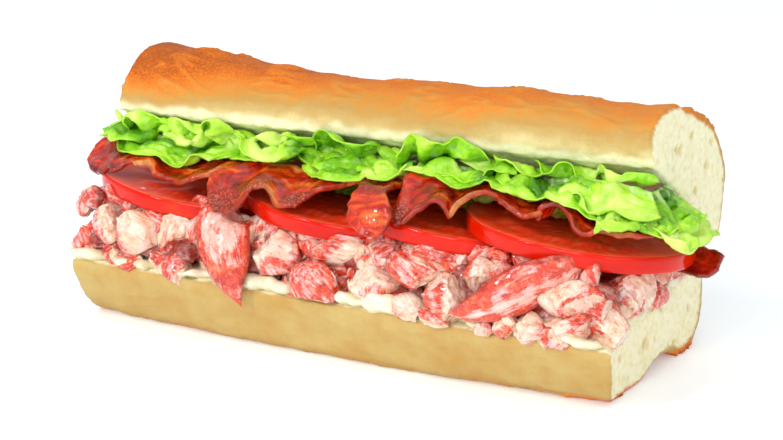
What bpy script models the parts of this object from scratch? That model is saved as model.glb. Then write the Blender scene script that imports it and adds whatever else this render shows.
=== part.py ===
"""Lobster BLT on a split sub roll, in metres with +Z up.

+X runs along the roll and -Y is the open front. The two halves of the roll meet along the
back, and the filling lies in the wedge between them: mayonnaise, lobster salad with two
claws, four tomato slices, bacon and lettuce. Lengths below are millimetres until a mesh
becomes an object. The finished sandwich stands on z = 0, centred in x and y.
"""

import math
import random

import bmesh
import bpy
import numpy as np
from mathutils import Matrix, Vector, noise

MM = 0.001
GAP = 0.35  # clearance between one piece and the next

# The roll: its ends are cut square, but the bottom half's right end runs out to the front.
ROLL_LENGTH = 175.0
END_SLANT, END_SLANT_FROM, END_SLANT_DEPTH = 6.5, -24.0, 15.0
ARCH_LEFT, ARCH_RIGHT = 1.4, 3.6  # height of the hollow along the underside, at each end
ARCH_FRONT, ARCH_BACK = -3.0, 22.0
BULGE, BULGE_CENTRE, BULGE_REACH = 4.5, -6.0, 60.0  # of the front crust, low down
BOTTOM_STATIONS = 17
TOP_SHIFT = 4.5  # the top half sits a little further right
TOP_STATIONS = 19
TOP_SAG = 4.4  # how far the top crust dips between its ends
CREST_CHANGES = ((34, 22, 1.0), (79, 8, -2.0))  # x, half width, rise: a swell, then a dip
CRUST_UNEVENNESS = 0.9
FRONT_CRUMB_HEIGHT = 19.8  # front edge of the bottom half's cut face
HINGE_HEIGHT = 32.6

# The filling
HEAP_FRONT, HEAP_BACK = -32.0, 27.0
HEAP_TOP = 34.5
MAYONNAISE_THICKNESS = 1.0
MAYONNAISE_BACK_ROWS = (0, 10, 20)
TOMATO_RADIUS = 33.0
TOMATO_THICKNESS = 4.8
TOMATO_BACK = 15.0  # the slices are trimmed here, where the roll closes
TOMATO_SLOPE_RIGHT, TOMATO_SLOPE_BACK = -0.10, -0.12
BACON_THICKNESS = 2.2
BACON_ROWS = 4
LEAF_THICKNESS = 1.0
LEAF_ROWS = 4
LEAF_COLUMN = 2.6  # spacing of the lattice that all leaves share


def smooth_curve(points, count):
    """Evenly spaced points on a Catmull-Rom curve through the given ones."""
    points = [Vector(point) for point in points]
    padded = [2 * points[0] - points[1], *points, 2 * points[-1] - points[-2]]
    dense = []
    for a, b, c, d in zip(padded, padded[1:], padded[2:], padded[3:]):
        for step in range(12):
            t = step / 12
            dense.append(0.5 * (2 * b + (c - a) * t + (2 * a - 5 * b + 4 * c - d) * t**2
                                + (3 * b - a - 3 * c + d) * t**3))
    dense.append(points[-1])
    travelled = np.cumsum([0.0] + [(q - p).length for p, q in zip(dense, dense[1:])])
    stops = np.linspace(0.0, travelled[-1], count)
    columns = [np.interp(stops, travelled, [p[axis] for p in dense]) for axis in range(len(points[0]))]
    return [Vector(point) for point in zip(*columns)]


def extrude_to(bm, face, points, keep):
    """Extrudes a face to a matching ring of points. Only the first face of a loft is kept."""
    result = bmesh.ops.extrude_face_region(bm, geom=[face])
    if not keep:
        bm.faces.remove(face)
    moved = next(item for item in result["geom"] if isinstance(item, bmesh.types.BMFace))
    for vert, point in zip(moved.verts, points):
        vert.co = point
    return moved


def loft(rings):
    """Closed solid: the first ring's face is extruded from ring to ring."""
    bm = bmesh.new()
    first = face = bm.faces.new([bm.verts.new(point) for point in rings[0]])
    for ring in rings[1:]:
        face = extrude_to(bm, face, ring, keep=face is first)
    bmesh.ops.recalc_face_normals(bm, faces=bm.faces)
    return bm


def sheet(columns):
    """Open triangulated surface through columns of points, each column as long as the next."""
    rows = len(columns[0])
    bm = bmesh.new()
    bmesh.ops.create_grid(bm, x_segments=len(columns) - 1, y_segments=rows - 1, size=1.0)
    bm.verts.ensure_lookup_table()
    for number, vert in enumerate(bm.verts):
        vert.co = columns[number % len(columns)][number // len(columns)]
    bmesh.ops.triangulate(bm, faces=bm.faces, quad_method="SHORT_EDGE")
    return bm


def thicken_upwards(bm, thickness):
    """Closed solid of a sheet, its upper face a copy of the lower one."""
    result = bmesh.ops.extrude_face_region(bm, geom=bm.faces[:], use_keep_orig=True)
    raised = [item for item in result["geom"] if isinstance(item, bmesh.types.BMVert)]
    bmesh.ops.translate(bm, verts=raised, vec=(0, 0, thickness))
    bmesh.ops.recalc_face_normals(bm, faces=bm.faces)
    return bm


def thicken_by_normals(bm, thickness):
    """Closed solid of a sheet with an even thickness."""
    bmesh.ops.recalc_face_normals(bm, faces=bm.faces)
    bmesh.ops.solidify(bm, geom=bm.faces[:], thickness=thickness)
    bmesh.ops.recalc_face_normals(bm, faces=bm.faces)
    return bm


def ellipsoid(centre, radii, turn=0.0, detail=2):
    """Icosphere stretched to three radii and turned about the vertical."""
    bm = bmesh.new()
    bmesh.ops.create_icosphere(bm, subdivisions=detail, radius=1.0)
    place = Matrix.Translation(centre) @ Matrix.Rotation(turn, 4, "Z") @ Matrix.Diagonal((*radii, 1))
    bmesh.ops.transform(bm, matrix=place, verts=bm.verts)
    return bm


def paint(name, colour, roughness):
    material = bpy.data.materials.new(name)
    material.use_nodes = True
    shader = material.node_tree.nodes["Principled BSDF"]
    red, green, blue = (int(colour[i:i + 2], 16) / 255 for i in (0, 2, 4))
    shader.inputs["Base Color"].default_value = (red**2.2, green**2.2, blue**2.2, 1)
    shader.inputs["Roughness"].default_value = roughness
    shader.inputs["Metallic"].default_value = 0.0
    return material


def add_object(name, bm, colour=None, roughness=0.5, collection=None):
    """Object of a mesh drawn in millimetres. A guide or cutter has no colour."""
    bmesh.ops.scale(bm, vec=(MM, MM, MM), verts=bm.verts)
    bmesh.ops.triangulate(bm, faces=bm.faces)
    mesh = bpy.data.meshes.new(name)
    bm.to_mesh(mesh)
    bm.free()
    piece = bpy.data.objects.new(name, mesh)
    (collection or bpy.context.scene.collection).objects.link(piece)
    if colour:
        mesh.materials.append(paint(f"{name} material", colour, roughness))
        mesh.shade_smooth()
        mesh.set_sharp_from_angle(angle=math.radians(35))
    else:
        piece.hide_render = True
        piece.display_type = "WIRE"
    return piece


# --- the roll ---------------------------------------------------------------------------


def along_roll(x):
    """0 at the left end of the top half, 1 at its right end."""
    return (x - TOP_SHIFT) / ROLL_LENGTH + 0.5


def hinge_line(x):
    """Where the two halves meet at the back: y at this x."""
    return 32.0 + 6.5 * along_roll(x)


def crumb_height(y, x=0.0):
    """Height of the bottom half's cut face, which rises to the hinge."""
    rise = max(0.0, (y + 6) / (hinge_line(x) + 6))
    return FRONT_CRUMB_HEIGHT + (HINGE_HEIGHT - 0.6 - FRONT_CRUMB_HEIGHT) * rise**2.2


def top_front_edge(x):
    """y of the top half's lower front edge, further back at the right end."""
    return -19.0 + 10.0 * along_roll(x)


def top_cut_height(y, x):
    """Height of the top half's cut face, which leans down to the back."""
    front = Vector((top_front_edge(x), 62.6 + 2.8 * along_roll(x)))
    back = Vector((hinge_line(x), HINGE_HEIGHT + 0.6))
    slope = (back.y - front.y) / (back.x - front.x)
    return front.y + slope * (y - front.x)


def bottom_section(x):
    """Ring of (y, z) round the bottom half: crust, underside with a shallow arch, cut face."""
    front = smooth_curve([(-39.2, 19.8), (-38.0, 14.4), (-34.6, 7.8), (-30.0, 2.8), (-24.5, 0)], 8)
    bulge = BULGE * math.exp(-((x - BULGE_CENTRE) / BULGE_REACH) ** 4)
    front = [Vector((p.x - bulge * max(0.0, 1 - p.y / 10) ** 1.5, p.y)) for p in front]
    flat = [Vector((y, 0)) for y in (-17, -10, ARCH_FRONT)]
    height = ARCH_LEFT + (ARCH_RIGHT - ARCH_LEFT) * max(0.0, 2 * x / ROLL_LENGTH) ** 2
    arch = [Vector((ARCH_FRONT + (ARCH_BACK - ARCH_FRONT) * t, height * math.sin(math.pi * t)))
            for t in (0.25, 0.5, 0.75)]
    back_top = (hinge_line(x) + 1.6, HINGE_HEIGHT - 0.6)
    back = smooth_curve([(29, 0), (35, 2.4), (38.8, 9), (39.6, 17), (38.9, 25), back_top], 8)
    cut = [Vector((y, crumb_height(y, x))) for y in np.linspace(hinge_line(x), -33.0, 9)]
    ring = front + flat + arch + [Vector((ARCH_BACK, 0))] + back + cut
    return [spread_crust(point, x) if point.y > 0.01 else point for point in ring]


def spread_crust(point, x):
    """Small low bumps on a crust point of a section."""
    bump = noise.noise(Vector((x / 38, point.x / 24, point.y / 24))) * CRUST_UNEVENNESS
    return Vector((point.x * (1 + bump / 40), point.y + bump * 0.3))


def bun_bottom():
    stations = np.linspace(-ROLL_LENGTH / 2, ROLL_LENGTH / 2, BOTTOM_STATIONS)
    rings = [[(x, p.x, p.y) for p in bottom_section(x)] for x in stations]
    rings[-1] = [(x + END_SLANT * min(1.0, max(0.0, (END_SLANT_FROM - y) / END_SLANT_DEPTH)), y, z)
                 for x, y, z in rings[-1]]
    return loft(rings)


LEFT_CRUST = ((-19, 62.6), (-17, 68.1), (-10, 75.4), (-1, 79.6), (10, 79.1),
              (22, 72.6), (30, 63.1), (34.3, 51.6), (35.0, 41.6), (33.6, 33.4))
RIGHT_CRUST = ((-9, 65.4), (-12.4, 72.6), (-9.6, 79.2), (-1, 81.2), (12, 79.2),
               (29.5, 71.0), (39.5, 61.0), (43.4, 51.8), (43.0, 41.6), (40.2, 33.4))


def top_section(x):
    """Ring of (y, z) round the top half, blended from its left profile to its right one."""
    u = along_roll(x)
    profile = [(1 - u) * Vector(left) + u * Vector(right) for left, right in zip(LEFT_CRUST, RIGHT_CRUST)]
    sag = TOP_SAG * math.sin(math.pi * u**0.8)
    sag -= sum(rise * math.exp(-((x - at) / wide) ** 2) for at, wide, rise in CREST_CHANGES)
    crust = []
    for point in smooth_curve(profile, 20):
        height = min(1.0, max(0.0, (point.y - 62) / 14))
        bump = noise.noise(Vector((x / 26, point.x / 22, 4.0))) * 1.6
        crust.append(Vector((point.x, point.y + height * (bump - sag))))
    start, end = crust[-1].x - 2.0, crust[0].x + 2.5
    cut = [Vector((y, top_cut_height(y, x) + 0.2)) for y in np.linspace(start, end, 7)]
    return crust + cut


def bun_top():
    stations = np.linspace(-ROLL_LENGTH / 2, ROLL_LENGTH / 2, TOP_STATIONS) + TOP_SHIFT
    return loft([[(x, p.x, p.y) for p in top_section(x)] for x in stations])


# --- the filling ------------------------------------------------------------------------

# Centre of each tomato slice, left to right; each lies over its left neighbour.
TOMATOES = ((-61, -2, 36.4), (-8, -3, 37.2), (29, -2, 39.0), (66, -2, 40.6))


def tomato_slice(centre, grow=0.0, height=TOMATO_THICKNESS):
    """Slice with a rounded skin edge, sheared to its slope, trimmed straight at the back.

    A grown, taller one is the cutter that keeps what lies beneath clear of the slice.
    """
    radius, low = TOMATO_RADIUS + grow, -TOMATO_THICKNESS / 2 - grow
    top = low + height
    profile = ((radius - 0.9, low), (radius, low + 1.2), (radius, top - 1.2), (radius - 0.9, top))
    turns = [2 * math.pi * step / 32 for step in range(32)]
    bm = loft([[(wide * math.cos(turn), wide * math.sin(turn), level) for turn in turns]
               for wide, level in profile])
    trim = bmesh.ops.bisect_plane(bm, geom=bm.verts[:] + bm.edges[:] + bm.faces[:], dist=0.001,
                                  plane_co=(0, TOMATO_BACK + grow - centre[1], 0), plane_no=(0, 1, 0),
                                  clear_outer=True)
    rim = [item for item in trim["geom_cut"] if isinstance(item, bmesh.types.BMEdge)]
    bmesh.ops.holes_fill(bm, edges=rim)
    for vert in bm.verts:
        x, y, z = vert.co
        vert.co.z = z + TOMATO_SLOPE_RIGHT * x + TOMATO_SLOPE_BACK * y
    bmesh.ops.translate(bm, verts=bm.verts, vec=centre)
    bmesh.ops.recalc_face_normals(bm, faces=bm.faces)
    return bm


def mayonnaise():
    """Layer on the crumb with soft dabs along the front edge."""
    rng = random.Random(11)
    dabs = [(x + rng.uniform(-5, 5), rng.uniform(5, 9), rng.uniform(0.4, 0.9)) for x in range(-80, 85, 19)]
    rings = []
    for x in np.linspace(-ROLL_LENGTH / 2 + 2, ROLL_LENGTH / 2 - 2, 30):
        swell = max(size * math.exp(-((x - at) / wide) ** 2) for at, wide, size in dabs)
        ys = [-37.0 - swell, -34.6, -31.2, -12, *MAYONNAISE_BACK_ROWS]
        lifts = [0.7 + 0.4 * swell, 1.4 + swell, 1.3 + 0.5 * swell] + [MAYONNAISE_THICKNESS] * 4
        top = [(x, y, crumb_height(y, x) + GAP + lift) for y, lift in zip(ys, lifts)]
        low = [(x, y, crumb_height(y, x) + GAP) for y in ys]
        rings.append(low + top[::-1])
    return loft(rings)


def bed_of_the_salad():
    """Cutter that holds the bottom half and the mayonnaise with their clearance."""
    section = [(-60, 3.1), (-31, 3.1), (-26, 2.5), *((y, 1.9) for y in (-12, *MAYONNAISE_BACK_ROWS, 44))]
    return loft([[(x, 44, 0), (x, -60, 0), *((x, y, crumb_height(y, x) + lift) for y, lift in section)]
                 for x in (-120, 120)])


# Each claw's spine of (x, y, z, half width, half depth), from the cut end to the tip.
CLAW_LEFT = ((-42, -32.5, 34.2, 5.6, 4.0), (-40, -36.0, 31.4, 7.2, 4.4), (-36.5, -40.2, 27.4, 7.0, 4.2),
             (-32.5, -43.4, 22.6, 5.6, 3.2), (-28.6, -43.6, 17.8, 3.3, 2.2), (-26.6, -42.6, 15.0, 0.9, 0.8))
CLAW_RIGHT = ((80, -32.0, 34.6, 5.6, 3.8), (75, -34.0, 32.8, 7.4, 4.6), (67, -36.5, 30.0, 7.6, 4.8),
              (59, -39.0, 27.2, 6.0, 4.0), (51, -41.2, 24.6, 3.8, 2.6), (44.5, -42.2, 22.4, 0.9, 0.8))


CLAW_SIDES = 10


def claw(spine, grow=0.0):
    """Tapering claw: ellipses along a bent spine, wide sideways and flat towards the heap."""
    path = [Vector(point[:3]) for point in spine]
    first = (path[0] - path[1]).normalized() * grow
    last = (path[-1] - path[-2]).normalized() * grow
    rings = []
    for number, (x, y, z, wide, deep) in enumerate(spine):
        before, after = path[max(0, number - 1)], path[min(len(path) - 1, number + 1)]
        forward = (after - before).normalized()
        inward = Vector((0, 1, 0.45)).normalized()
        side = forward.cross(inward).normalized()
        inward = side.cross(forward)
        centre = path[number] + (first if number == 0 else last if number == len(spine) - 1 else Vector())
        ring = []
        for step in range(CLAW_SIDES):
            angle = 2 * math.pi * step / CLAW_SIDES
            sideways = side * math.cos(angle) * (wide + grow)
            ring.append(centre + sideways + inward * math.sin(angle) * (deep + grow))
        rings.append(ring)
    return loft(rings)


def heap_core():
    """Body of the lobster salad, which the chunks are fused to."""
    rings = []
    for x in np.linspace(-86, 86, 9):
        front, back = HEAP_FRONT + 1.5, HEAP_BACK
        low = [(x, y, crumb_height(y, x) + GAP) for y in (front, -10, 8, back)]
        top = [(x, y, HEAP_TOP) for y in (back - 1, 10, -10, front + 4)] + [(x, front - 0.5, 28.5)]
        rings.append(low + top)
    return loft(rings)


def lobster_chunk(rng, centre, size):
    """Rough ellipsoid torn flat on one or two sides."""
    radii = size * Vector((rng.uniform(0.95, 1.35), rng.uniform(0.8, 1.0), rng.uniform(0.75, 1.05)))
    bm = ellipsoid((0, 0, 0), radii, turn=rng.uniform(0, math.pi))
    tip = Matrix.Rotation(rng.uniform(-0.7, 0.7), 4, "Y") @ Matrix.Rotation(rng.uniform(-0.5, 0.5), 4, "X")
    bmesh.ops.transform(bm, matrix=tip, verts=bm.verts)
    seed = Vector((rng.uniform(0, 90), 0, 0))
    for vert in bm.verts:
        vert.co *= 1 + 0.22 * noise.noise(vert.co * (1.1 / size) + seed)
    for _ in range(2):
        tear = Vector((rng.uniform(-1, 1), rng.uniform(-1, -0.1), rng.uniform(-0.5, 1))).normalized()
        level = size * rng.uniform(0.62, 0.85)
        for vert in bm.verts:
            beyond = vert.co.dot(tear) - level
            if beyond > 0:
                vert.co -= tear * beyond * 0.9
    bmesh.ops.translate(bm, verts=bm.verts, vec=centre)
    return bm


def chunk_places(rng):
    """Centres and sizes: two rows along the open front, then the two ends of the heap."""
    places = []
    for row, (depth, height, size) in enumerate(((-33.0, 24.6, 6.6), (-29.5, 32.8, 6.0))):
        for number in range(15):
            x = -82 + 11.6 * (number + 0.5 * row) + rng.uniform(-2.5, 2.5)
            wobble = Vector((0, rng.uniform(-1.2, 1.6), rng.uniform(-1.4, 1.4)))
            places.append((Vector((x, depth, height)) + wobble, size * rng.uniform(0.85, 1.15)))
    for end in (-1, 1):
        for y, height in ((-26, 27), (-15, 31), (-5, 25), (6, 30), (17, 29)):
            x = end * (84 + rng.uniform(-1.5, 1.5))
            places.append((Vector((x, y, height + rng.uniform(-1, 1))), rng.uniform(5.2, 6.4)))
    return places


def add_modifier(piece, operation, collection):
    step = piece.modifiers.new(operation.lower(), "BOOLEAN")
    step.operation = operation
    step.operand_type = "COLLECTION"
    step.collection = collection
    step.solver = "EXACT"


def lobster_salad():
    """Core with the chunks fused on, then pressed clear of everything that it touches."""
    rng = random.Random(23)
    chunks = bpy.data.collections.new("lobster chunks")
    neighbours = bpy.data.collections.new("neighbours of the salad")
    for collection in (chunks, neighbours):
        bpy.context.scene.collection.children.link(collection)
    for number, (centre, size) in enumerate(chunk_places(rng)):
        add_object(f"chunk {number}", lobster_chunk(rng, centre, size), collection=chunks)
    for number, centre in enumerate(TOMATOES):
        add_object(f"above slice {number}", tomato_slice(centre, GAP, height=40), collection=neighbours)
    add_object("left pocket", claw(CLAW_LEFT, GAP), collection=neighbours)
    add_object("right pocket", claw(CLAW_RIGHT, GAP), collection=neighbours)
    add_object("bed", bed_of_the_salad(), collection=neighbours)
    salad = add_object("lobster_salad", heap_core(), "D9694F", 0.35)
    add_modifier(salad, "UNION", chunks)
    add_modifier(salad, "DIFFERENCE", neighbours)
    apply_modifiers(salad)
    for collection in (chunks, neighbours):
        for piece in collection.objects[:]:
            bpy.data.objects.remove(piece)
        bpy.data.collections.remove(collection)
    return salad


def apply_modifiers(piece):
    """Bakes the modifiers, then keeps the largest body and drops loose scraps."""
    evaluated = piece.evaluated_get(bpy.context.evaluated_depsgraph_get())
    bm = bmesh.new()
    bm.from_mesh(evaluated.to_mesh())
    evaluated.to_mesh_clear()
    piece.modifiers.clear()
    bmesh.ops.remove_doubles(bm, verts=bm.verts, dist=0.000002)
    bmesh.ops.dissolve_degenerate(bm, edges=bm.edges, dist=0.000002)
    bodies, seen = [], set()
    for start in bm.verts:
        if start in seen:
            continue
        body, queue = [], [start]
        seen.add(start)
        while queue:
            vert = queue.pop()
            body.append(vert)
            for edge in vert.link_edges:
                other = edge.other_vert(vert)
                if other not in seen:
                    seen.add(other)
                    queue.append(other)
        bodies.append(body)
    bodies.sort(key=len)
    for body in bodies[:-1]:
        bmesh.ops.delete(bm, geom=body, context="VERTS")
    bmesh.ops.triangulate(bm, faces=bm.faces)
    bm.to_mesh(piece.data)
    bm.free()


PILE_LENGTH, PILE_WIDTH = 260, 120  # millimetres and cells of the raster below


class Pile:
    """Height of what already lies in the sandwich, on a 1 mm raster seen from above."""

    def __init__(self):
        self.heights = np.full((PILE_LENGTH, PILE_WIDTH), -1.0)

    def cell(self, x, y):
        return int(round(x)) + PILE_LENGTH // 2, int(round(y)) + PILE_WIDTH // 2

    def add(self, bm):
        """Raises the raster to a mesh that is drawn in millimetres."""
        for face in bm.faces:
            corners = [loop.vert.co for loop in face.loops]
            for b, c in zip(corners[1:], corners[2:]):
                a = corners[0]
                steps = max(1, int(max((b - a).length, (c - a).length, (c - b).length) / 0.7))
                for i in range(steps + 1):
                    for j in range(steps + 1 - i):
                        point = a + (b - a) * (i / steps) + (c - a) * (j / steps)
                        cell = self.cell(point.x, point.y)
                        self.heights[cell] = max(self.heights[cell], point.z)

    def top(self, x, y, reach_x, reach_y):
        """Highest point within reach of a place, so that a mesh with steps that long clears it."""
        i, j = self.cell(x, y)
        return self.heights[i - reach_x:i + reach_x + 1, j - reach_y:j + reach_y + 1].max()


def lying_strip(pile, path, width, turn, wave, wavelength, phase):
    """Bacon strip that lies on the pile, through the path's points (x, y, lift above the pile).

    Its wave runs along it, and turn raises its back edge.
    """
    centre = smooth_curve(path, 3 * len(path) + 1)
    pitch = (centre[1].xy - centre[0].xy).length
    columns = []
    for number, point in enumerate(centre):
        before, after = centre[max(0, number - 1)], centre[min(len(centre) - 1, number + 1)]
        forward = (after.xy - before.xy).normalized()
        across = Vector((-forward.y, forward.x))
        rounding = 1 - 0.45 * (2 * number / (len(centre) - 1) - 1) ** 6
        column = []
        for step in range(BACON_ROWS):
            offset = (step / (BACON_ROWS - 1) - 0.5) * width * rounding
            place = point.xy + across * offset
            angle = 2 * math.pi * number * pitch / wavelength + phase + 0.12 * offset
            lift = point.z + wave * (1 + math.sin(angle)) + turn * (offset + width / 2)
            rest = max(pile.top(place.x, place.y, 4, 6), HEAP_TOP)
            column.append(Vector((place.x, place.y, rest + GAP + lift)))
        columns.append(column)
    return thicken_upwards(sheet(columns), BACON_THICKNESS)


def hanging_strip(x_centre, width, profile):
    """Bacon end that comes out over the tomato and hangs: profile is (y, z, x shift, scale)."""
    columns = []
    for y, z, shift, scale in smooth_curve(profile, 11):
        column = []
        for step in range(BACON_ROWS):
            t = step / (BACON_ROWS - 1) - 0.5
            ripple = 0.8 * math.cos(2 * math.pi * t)
            column.append(Vector((x_centre + shift + t * width * scale, y - ripple, z + ripple)))
        columns.append(column)
    return thicken_by_normals(sheet(columns), BACON_THICKNESS)


# Hanging ends: x, width, then the (y, z, x shift, scale) places of each strip down its fall.
HANGING_STRIPS = (
    (-35, 13, ((-24, 48.8, 2, 0.9), (-31, 49.4, 1, 1), (-37, 46, 0, 1), (-39.3, 39, -1, 0.7))),
    (16, 14, ((-14, 51.0, -1, 0.9), (-25, 51.6, -2, 1), (-34, 50.2, -1, 1), (-38.6, 45, 1, 1),
              (-40.0, 39.5, 2, 0.6))),
)
# Lying strips: the path's (x, y, lift) places, then width, turn, wave, wavelength and phase.
LYING_STRIPS = (
    (((-91, -16, 0.2), (-78, -16, 0.2), (-64, -17, 0.8), (-56, -16, 0.2), (-50, -15, 0.2)),
     18, 0.0, 1.1, 26, 0),
    (((-26.5, -28, 0.6), (-18, -24, 2.0), (-8, -20, 0.6)), 20, 0.0, 1.2, 20, 0),
    (((25, -24, 0.2), (34, -25, 0.8), (44, -24, 0.3), (55, -20, 0.3), (62, -18, 0.2)), 15, 0.1, 1.3, 20, 2),
    (((71, -22, 0.4), (79, -18, 0.8), (88, -11, 0.4), (93, -7, 0.2)), 12, 0.1, 1.4, 15, 0),
    (((92, 13, 0.2), (99, 10, 0.2), (106, 8, 0.2)), 10, 0.0, 0.3, 12, 0),
)


def bacon_strips(pile):
    """Seven strips and broken ends, each laid on what is already there."""
    for x, width, profile in HANGING_STRIPS:
        strip = hanging_strip(x, width, profile)
        pile.add(strip)
        yield strip
    for path, width, turn, wave, wavelength, phase in LYING_STRIPS:
        strip = lying_strip(pile, path, width, turn, wave, wavelength, phase)
        pile.add(strip)
        yield strip


# Each lettuce leaf: left end, right end, level in the stack, how far it reaches to the front.
# The upper leaves cover the joints between the lower ones and are only tucked in at the edge.
LEAVES = ((-90, -46, 0, -29), (-44, 0, 0, -30), (3, 40, 0, -31), (44, 75, 0, -29), (79, 112, 0, -24),
          (-86, -34, 3, -24), (-30, 26, 3, -24), (30, 88, 3, -22))
UPPER_LEVEL = 3


def leaf(pile, left, right, level, reach):
    """Ruffled leaf under the top half. All leaves share one ruffle, so that they nest."""
    first, last = math.ceil(left / LEAF_COLUMN), math.floor(right / LEAF_COLUMN)
    columns = []
    for number in range(first, last + 1):
        x = number * LEAF_COLUMN
        t = (number - first) / (last - first)
        taper = math.sqrt(max(0.02, 1 - (2 * t - 1) ** 4))
        back_end = top_front_edge(x) + 5 if level == UPPER_LEVEL else 4
        middle = (reach + back_end) / 2
        front = middle + (reach - middle) * taper + 1.6 * math.sin(x / 2.9 + level)
        back = middle + (back_end - middle) * taper
        columns.append([leaf_point(pile, x, front + (back - front) * row / LEAF_ROWS, level)
                        for row in range(LEAF_ROWS + 1)])
    return thicken_upwards(sheet(columns), LEAF_THICKNESS)


def leaf_point(pile, x, y, level):
    """Point of the shared ruffle, pressed under the top half and loose where it hangs in front."""
    edge = top_front_edge(x) + 3
    hang = max(0.0, edge - y)
    ruffle = math.sin(2 * math.pi * x / 15.5 + 0.09 * y) + 0.45 * math.sin(2 * math.pi * x / 8.3 + 1.3)
    pressed = top_cut_height(max(y, edge), x) - 7.4
    height = pressed - 0.62 * hang + ruffle * (0.5 + 0.22 * min(hang, 12))
    return Vector((x, y, max(height, pile.top(x, y, 3, 8) + GAP) + level * 1.6))


def add_filling():
    add_object("mayonnaise", mayonnaise(), "F3E9CF", 0.35)
    lobster_salad()
    add_object("claw_left", claw(CLAW_LEFT), "D8402A", 0.3)
    add_object("claw_right", claw(CLAW_RIGHT), "D9503A", 0.3)
    pile = Pile()
    for number, centre in enumerate(TOMATOES, 1):
        bm = tomato_slice(centre)
        pile.add(bm)
        add_object(f"tomato_slice_{number}", bm, "D92A12", 0.25)
    for number, strip in enumerate(bacon_strips(pile), 1):
        add_object(f"bacon_{number}", strip, "8E2A14", 0.35)
    for number, shape in enumerate(LEAVES, 1):
        add_object(f"lettuce_{number}", leaf(pile, *shape), "8CC832", 0.4)


def centre_on_origin():
    """Moves every mesh so that the sandwich stands centred on the origin."""
    pieces = [piece for piece in bpy.context.scene.objects if piece.type == "MESH"]
    points = np.array([vert.co[:] for piece in pieces for vert in piece.data.vertices])
    low, high = points.min(axis=0), points.max(axis=0)
    shift = Matrix.Translation((-(low[0] + high[0]) / 2, -(low[1] + high[1]) / 2, -low[2]))
    for piece in pieces:
        piece.data.transform(shift)


def build_sandwich():
    for piece in bpy.data.objects[:]:
        bpy.data.objects.remove(piece)
    add_object("bun_bottom", bun_bottom(), "E2B872", 0.6)
    add_object("bun_top", bun_top(), "D08A3C", 0.5)
    add_filling()
    centre_on_origin()


build_sandwich()
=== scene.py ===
# %% [markdown]
# # A lobster BLT on a split sub roll
# The sandwich is a long roll that is cut along one side and packed with mayonnaise, lobster
# salad, tomato, bacon and lettuce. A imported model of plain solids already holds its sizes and
# places. This lesson loads that model as a fixed frame, and builds the food that shows round
# it: crust and crumb, torn lobster meat, wet tomato, fried bacon and ruffled leaves.

# %% Load the frame
import math
import random

import bmesh
import bpy
import numpy as np
from mathutils import Matrix, Vector, noise
from mathutils.bvhtree import BVHTree


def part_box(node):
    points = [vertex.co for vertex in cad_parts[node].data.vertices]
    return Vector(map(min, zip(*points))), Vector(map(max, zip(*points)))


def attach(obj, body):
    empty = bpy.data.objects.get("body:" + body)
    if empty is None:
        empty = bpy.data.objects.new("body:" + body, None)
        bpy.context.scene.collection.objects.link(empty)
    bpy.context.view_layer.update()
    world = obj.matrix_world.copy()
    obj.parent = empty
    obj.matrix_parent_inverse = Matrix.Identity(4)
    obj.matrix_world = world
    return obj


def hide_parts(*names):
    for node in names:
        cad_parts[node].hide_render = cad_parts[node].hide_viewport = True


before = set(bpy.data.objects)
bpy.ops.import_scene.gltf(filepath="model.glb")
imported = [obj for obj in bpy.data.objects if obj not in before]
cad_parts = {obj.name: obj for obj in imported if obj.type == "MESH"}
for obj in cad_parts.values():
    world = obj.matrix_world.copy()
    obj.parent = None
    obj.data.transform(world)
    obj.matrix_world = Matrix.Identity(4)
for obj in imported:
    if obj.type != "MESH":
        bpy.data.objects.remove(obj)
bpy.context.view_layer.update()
print("nodes:", ", ".join(sorted(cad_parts)))

# %% [markdown]
# Food is easiest to think of in millimetres, from the middle of the roll. Every shape below is
# drawn that way, and moved to its place in metres when it becomes an object. The middle is
# measured on the bottom half of the roll: it lies half the roll's length from the left end, and
# 39.2 mm behind the front.
#
# One slanted cut opens the roll. It runs from the lower front edge of the top half back and
# down to the hinge, and both edges slant a little from end to end.

# %% Drawing in millimetres
MM = 0.001
bottom_low, bottom_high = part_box("bun_bottom")
ROLL_LENGTH = 175.0
FRONT_DEPTH = 39.2
TOP_SHIFT = 4.5  # the top half lies this far to the right of the bottom half
HINGE_HEIGHT = 33.2
MIDDLE = Vector((bottom_low.x + ROLL_LENGTH / 2 * MM, bottom_low.y + FRONT_DEPTH * MM, 0.0))
TO_FRAME = Matrix.Translation(MIDDLE) @ Matrix.Scale(MM, 4)
FROM_FRAME = TO_FRAME.inverted()
print("the roll is", round((bottom_high.x - bottom_low.x) / MM, 1), "mm long")


def along_roll(x):
    """0 at the left end of the top half, 1 at its right end."""
    return (x - TOP_SHIFT) / ROLL_LENGTH + 0.5


def cut_edges(x):
    """Front edge (y, z) of the cut face of the top half, and y of its hinge."""
    u = along_roll(x)
    return -19 + 10 * u, 62.6 + 2.8 * u, 32 + 6.5 * u


def ramp_up(value, low, high):
    """0 below low, 1 above high, and smooth in between."""
    t = min(1.0, max(0.0, (value - low) / (high - low)))
    return t * t * (3 - 2 * t)


def wander(place, size, seed=0.0):
    """Smooth noise from -1 to 1 whose lumps are about size mm across."""
    return noise.noise(place / size + Vector((seed, seed * 0.7, -seed)))


# %% [markdown]
# Three steps come back for every piece. A CAD node is copied as a clean mesh, whose loose
# triangles are merged first. A voxel remesh wraps whatever a mesh holds in one closed skin of
# small even faces, which is what relief needs. A finished mesh becomes an object that rides on
# the one body and hides the CAD nodes that it stands for.

# %% Copies and closed skins
MERGE_DISTANCE = 0.002


def in_mm(mesh):
    """A mesh of the frame or the scene, in drawing millimetres."""
    bm = bmesh.new()
    bm.from_mesh(mesh)
    bmesh.ops.transform(bm, matrix=FROM_FRAME, verts=bm.verts)
    return bm


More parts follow.
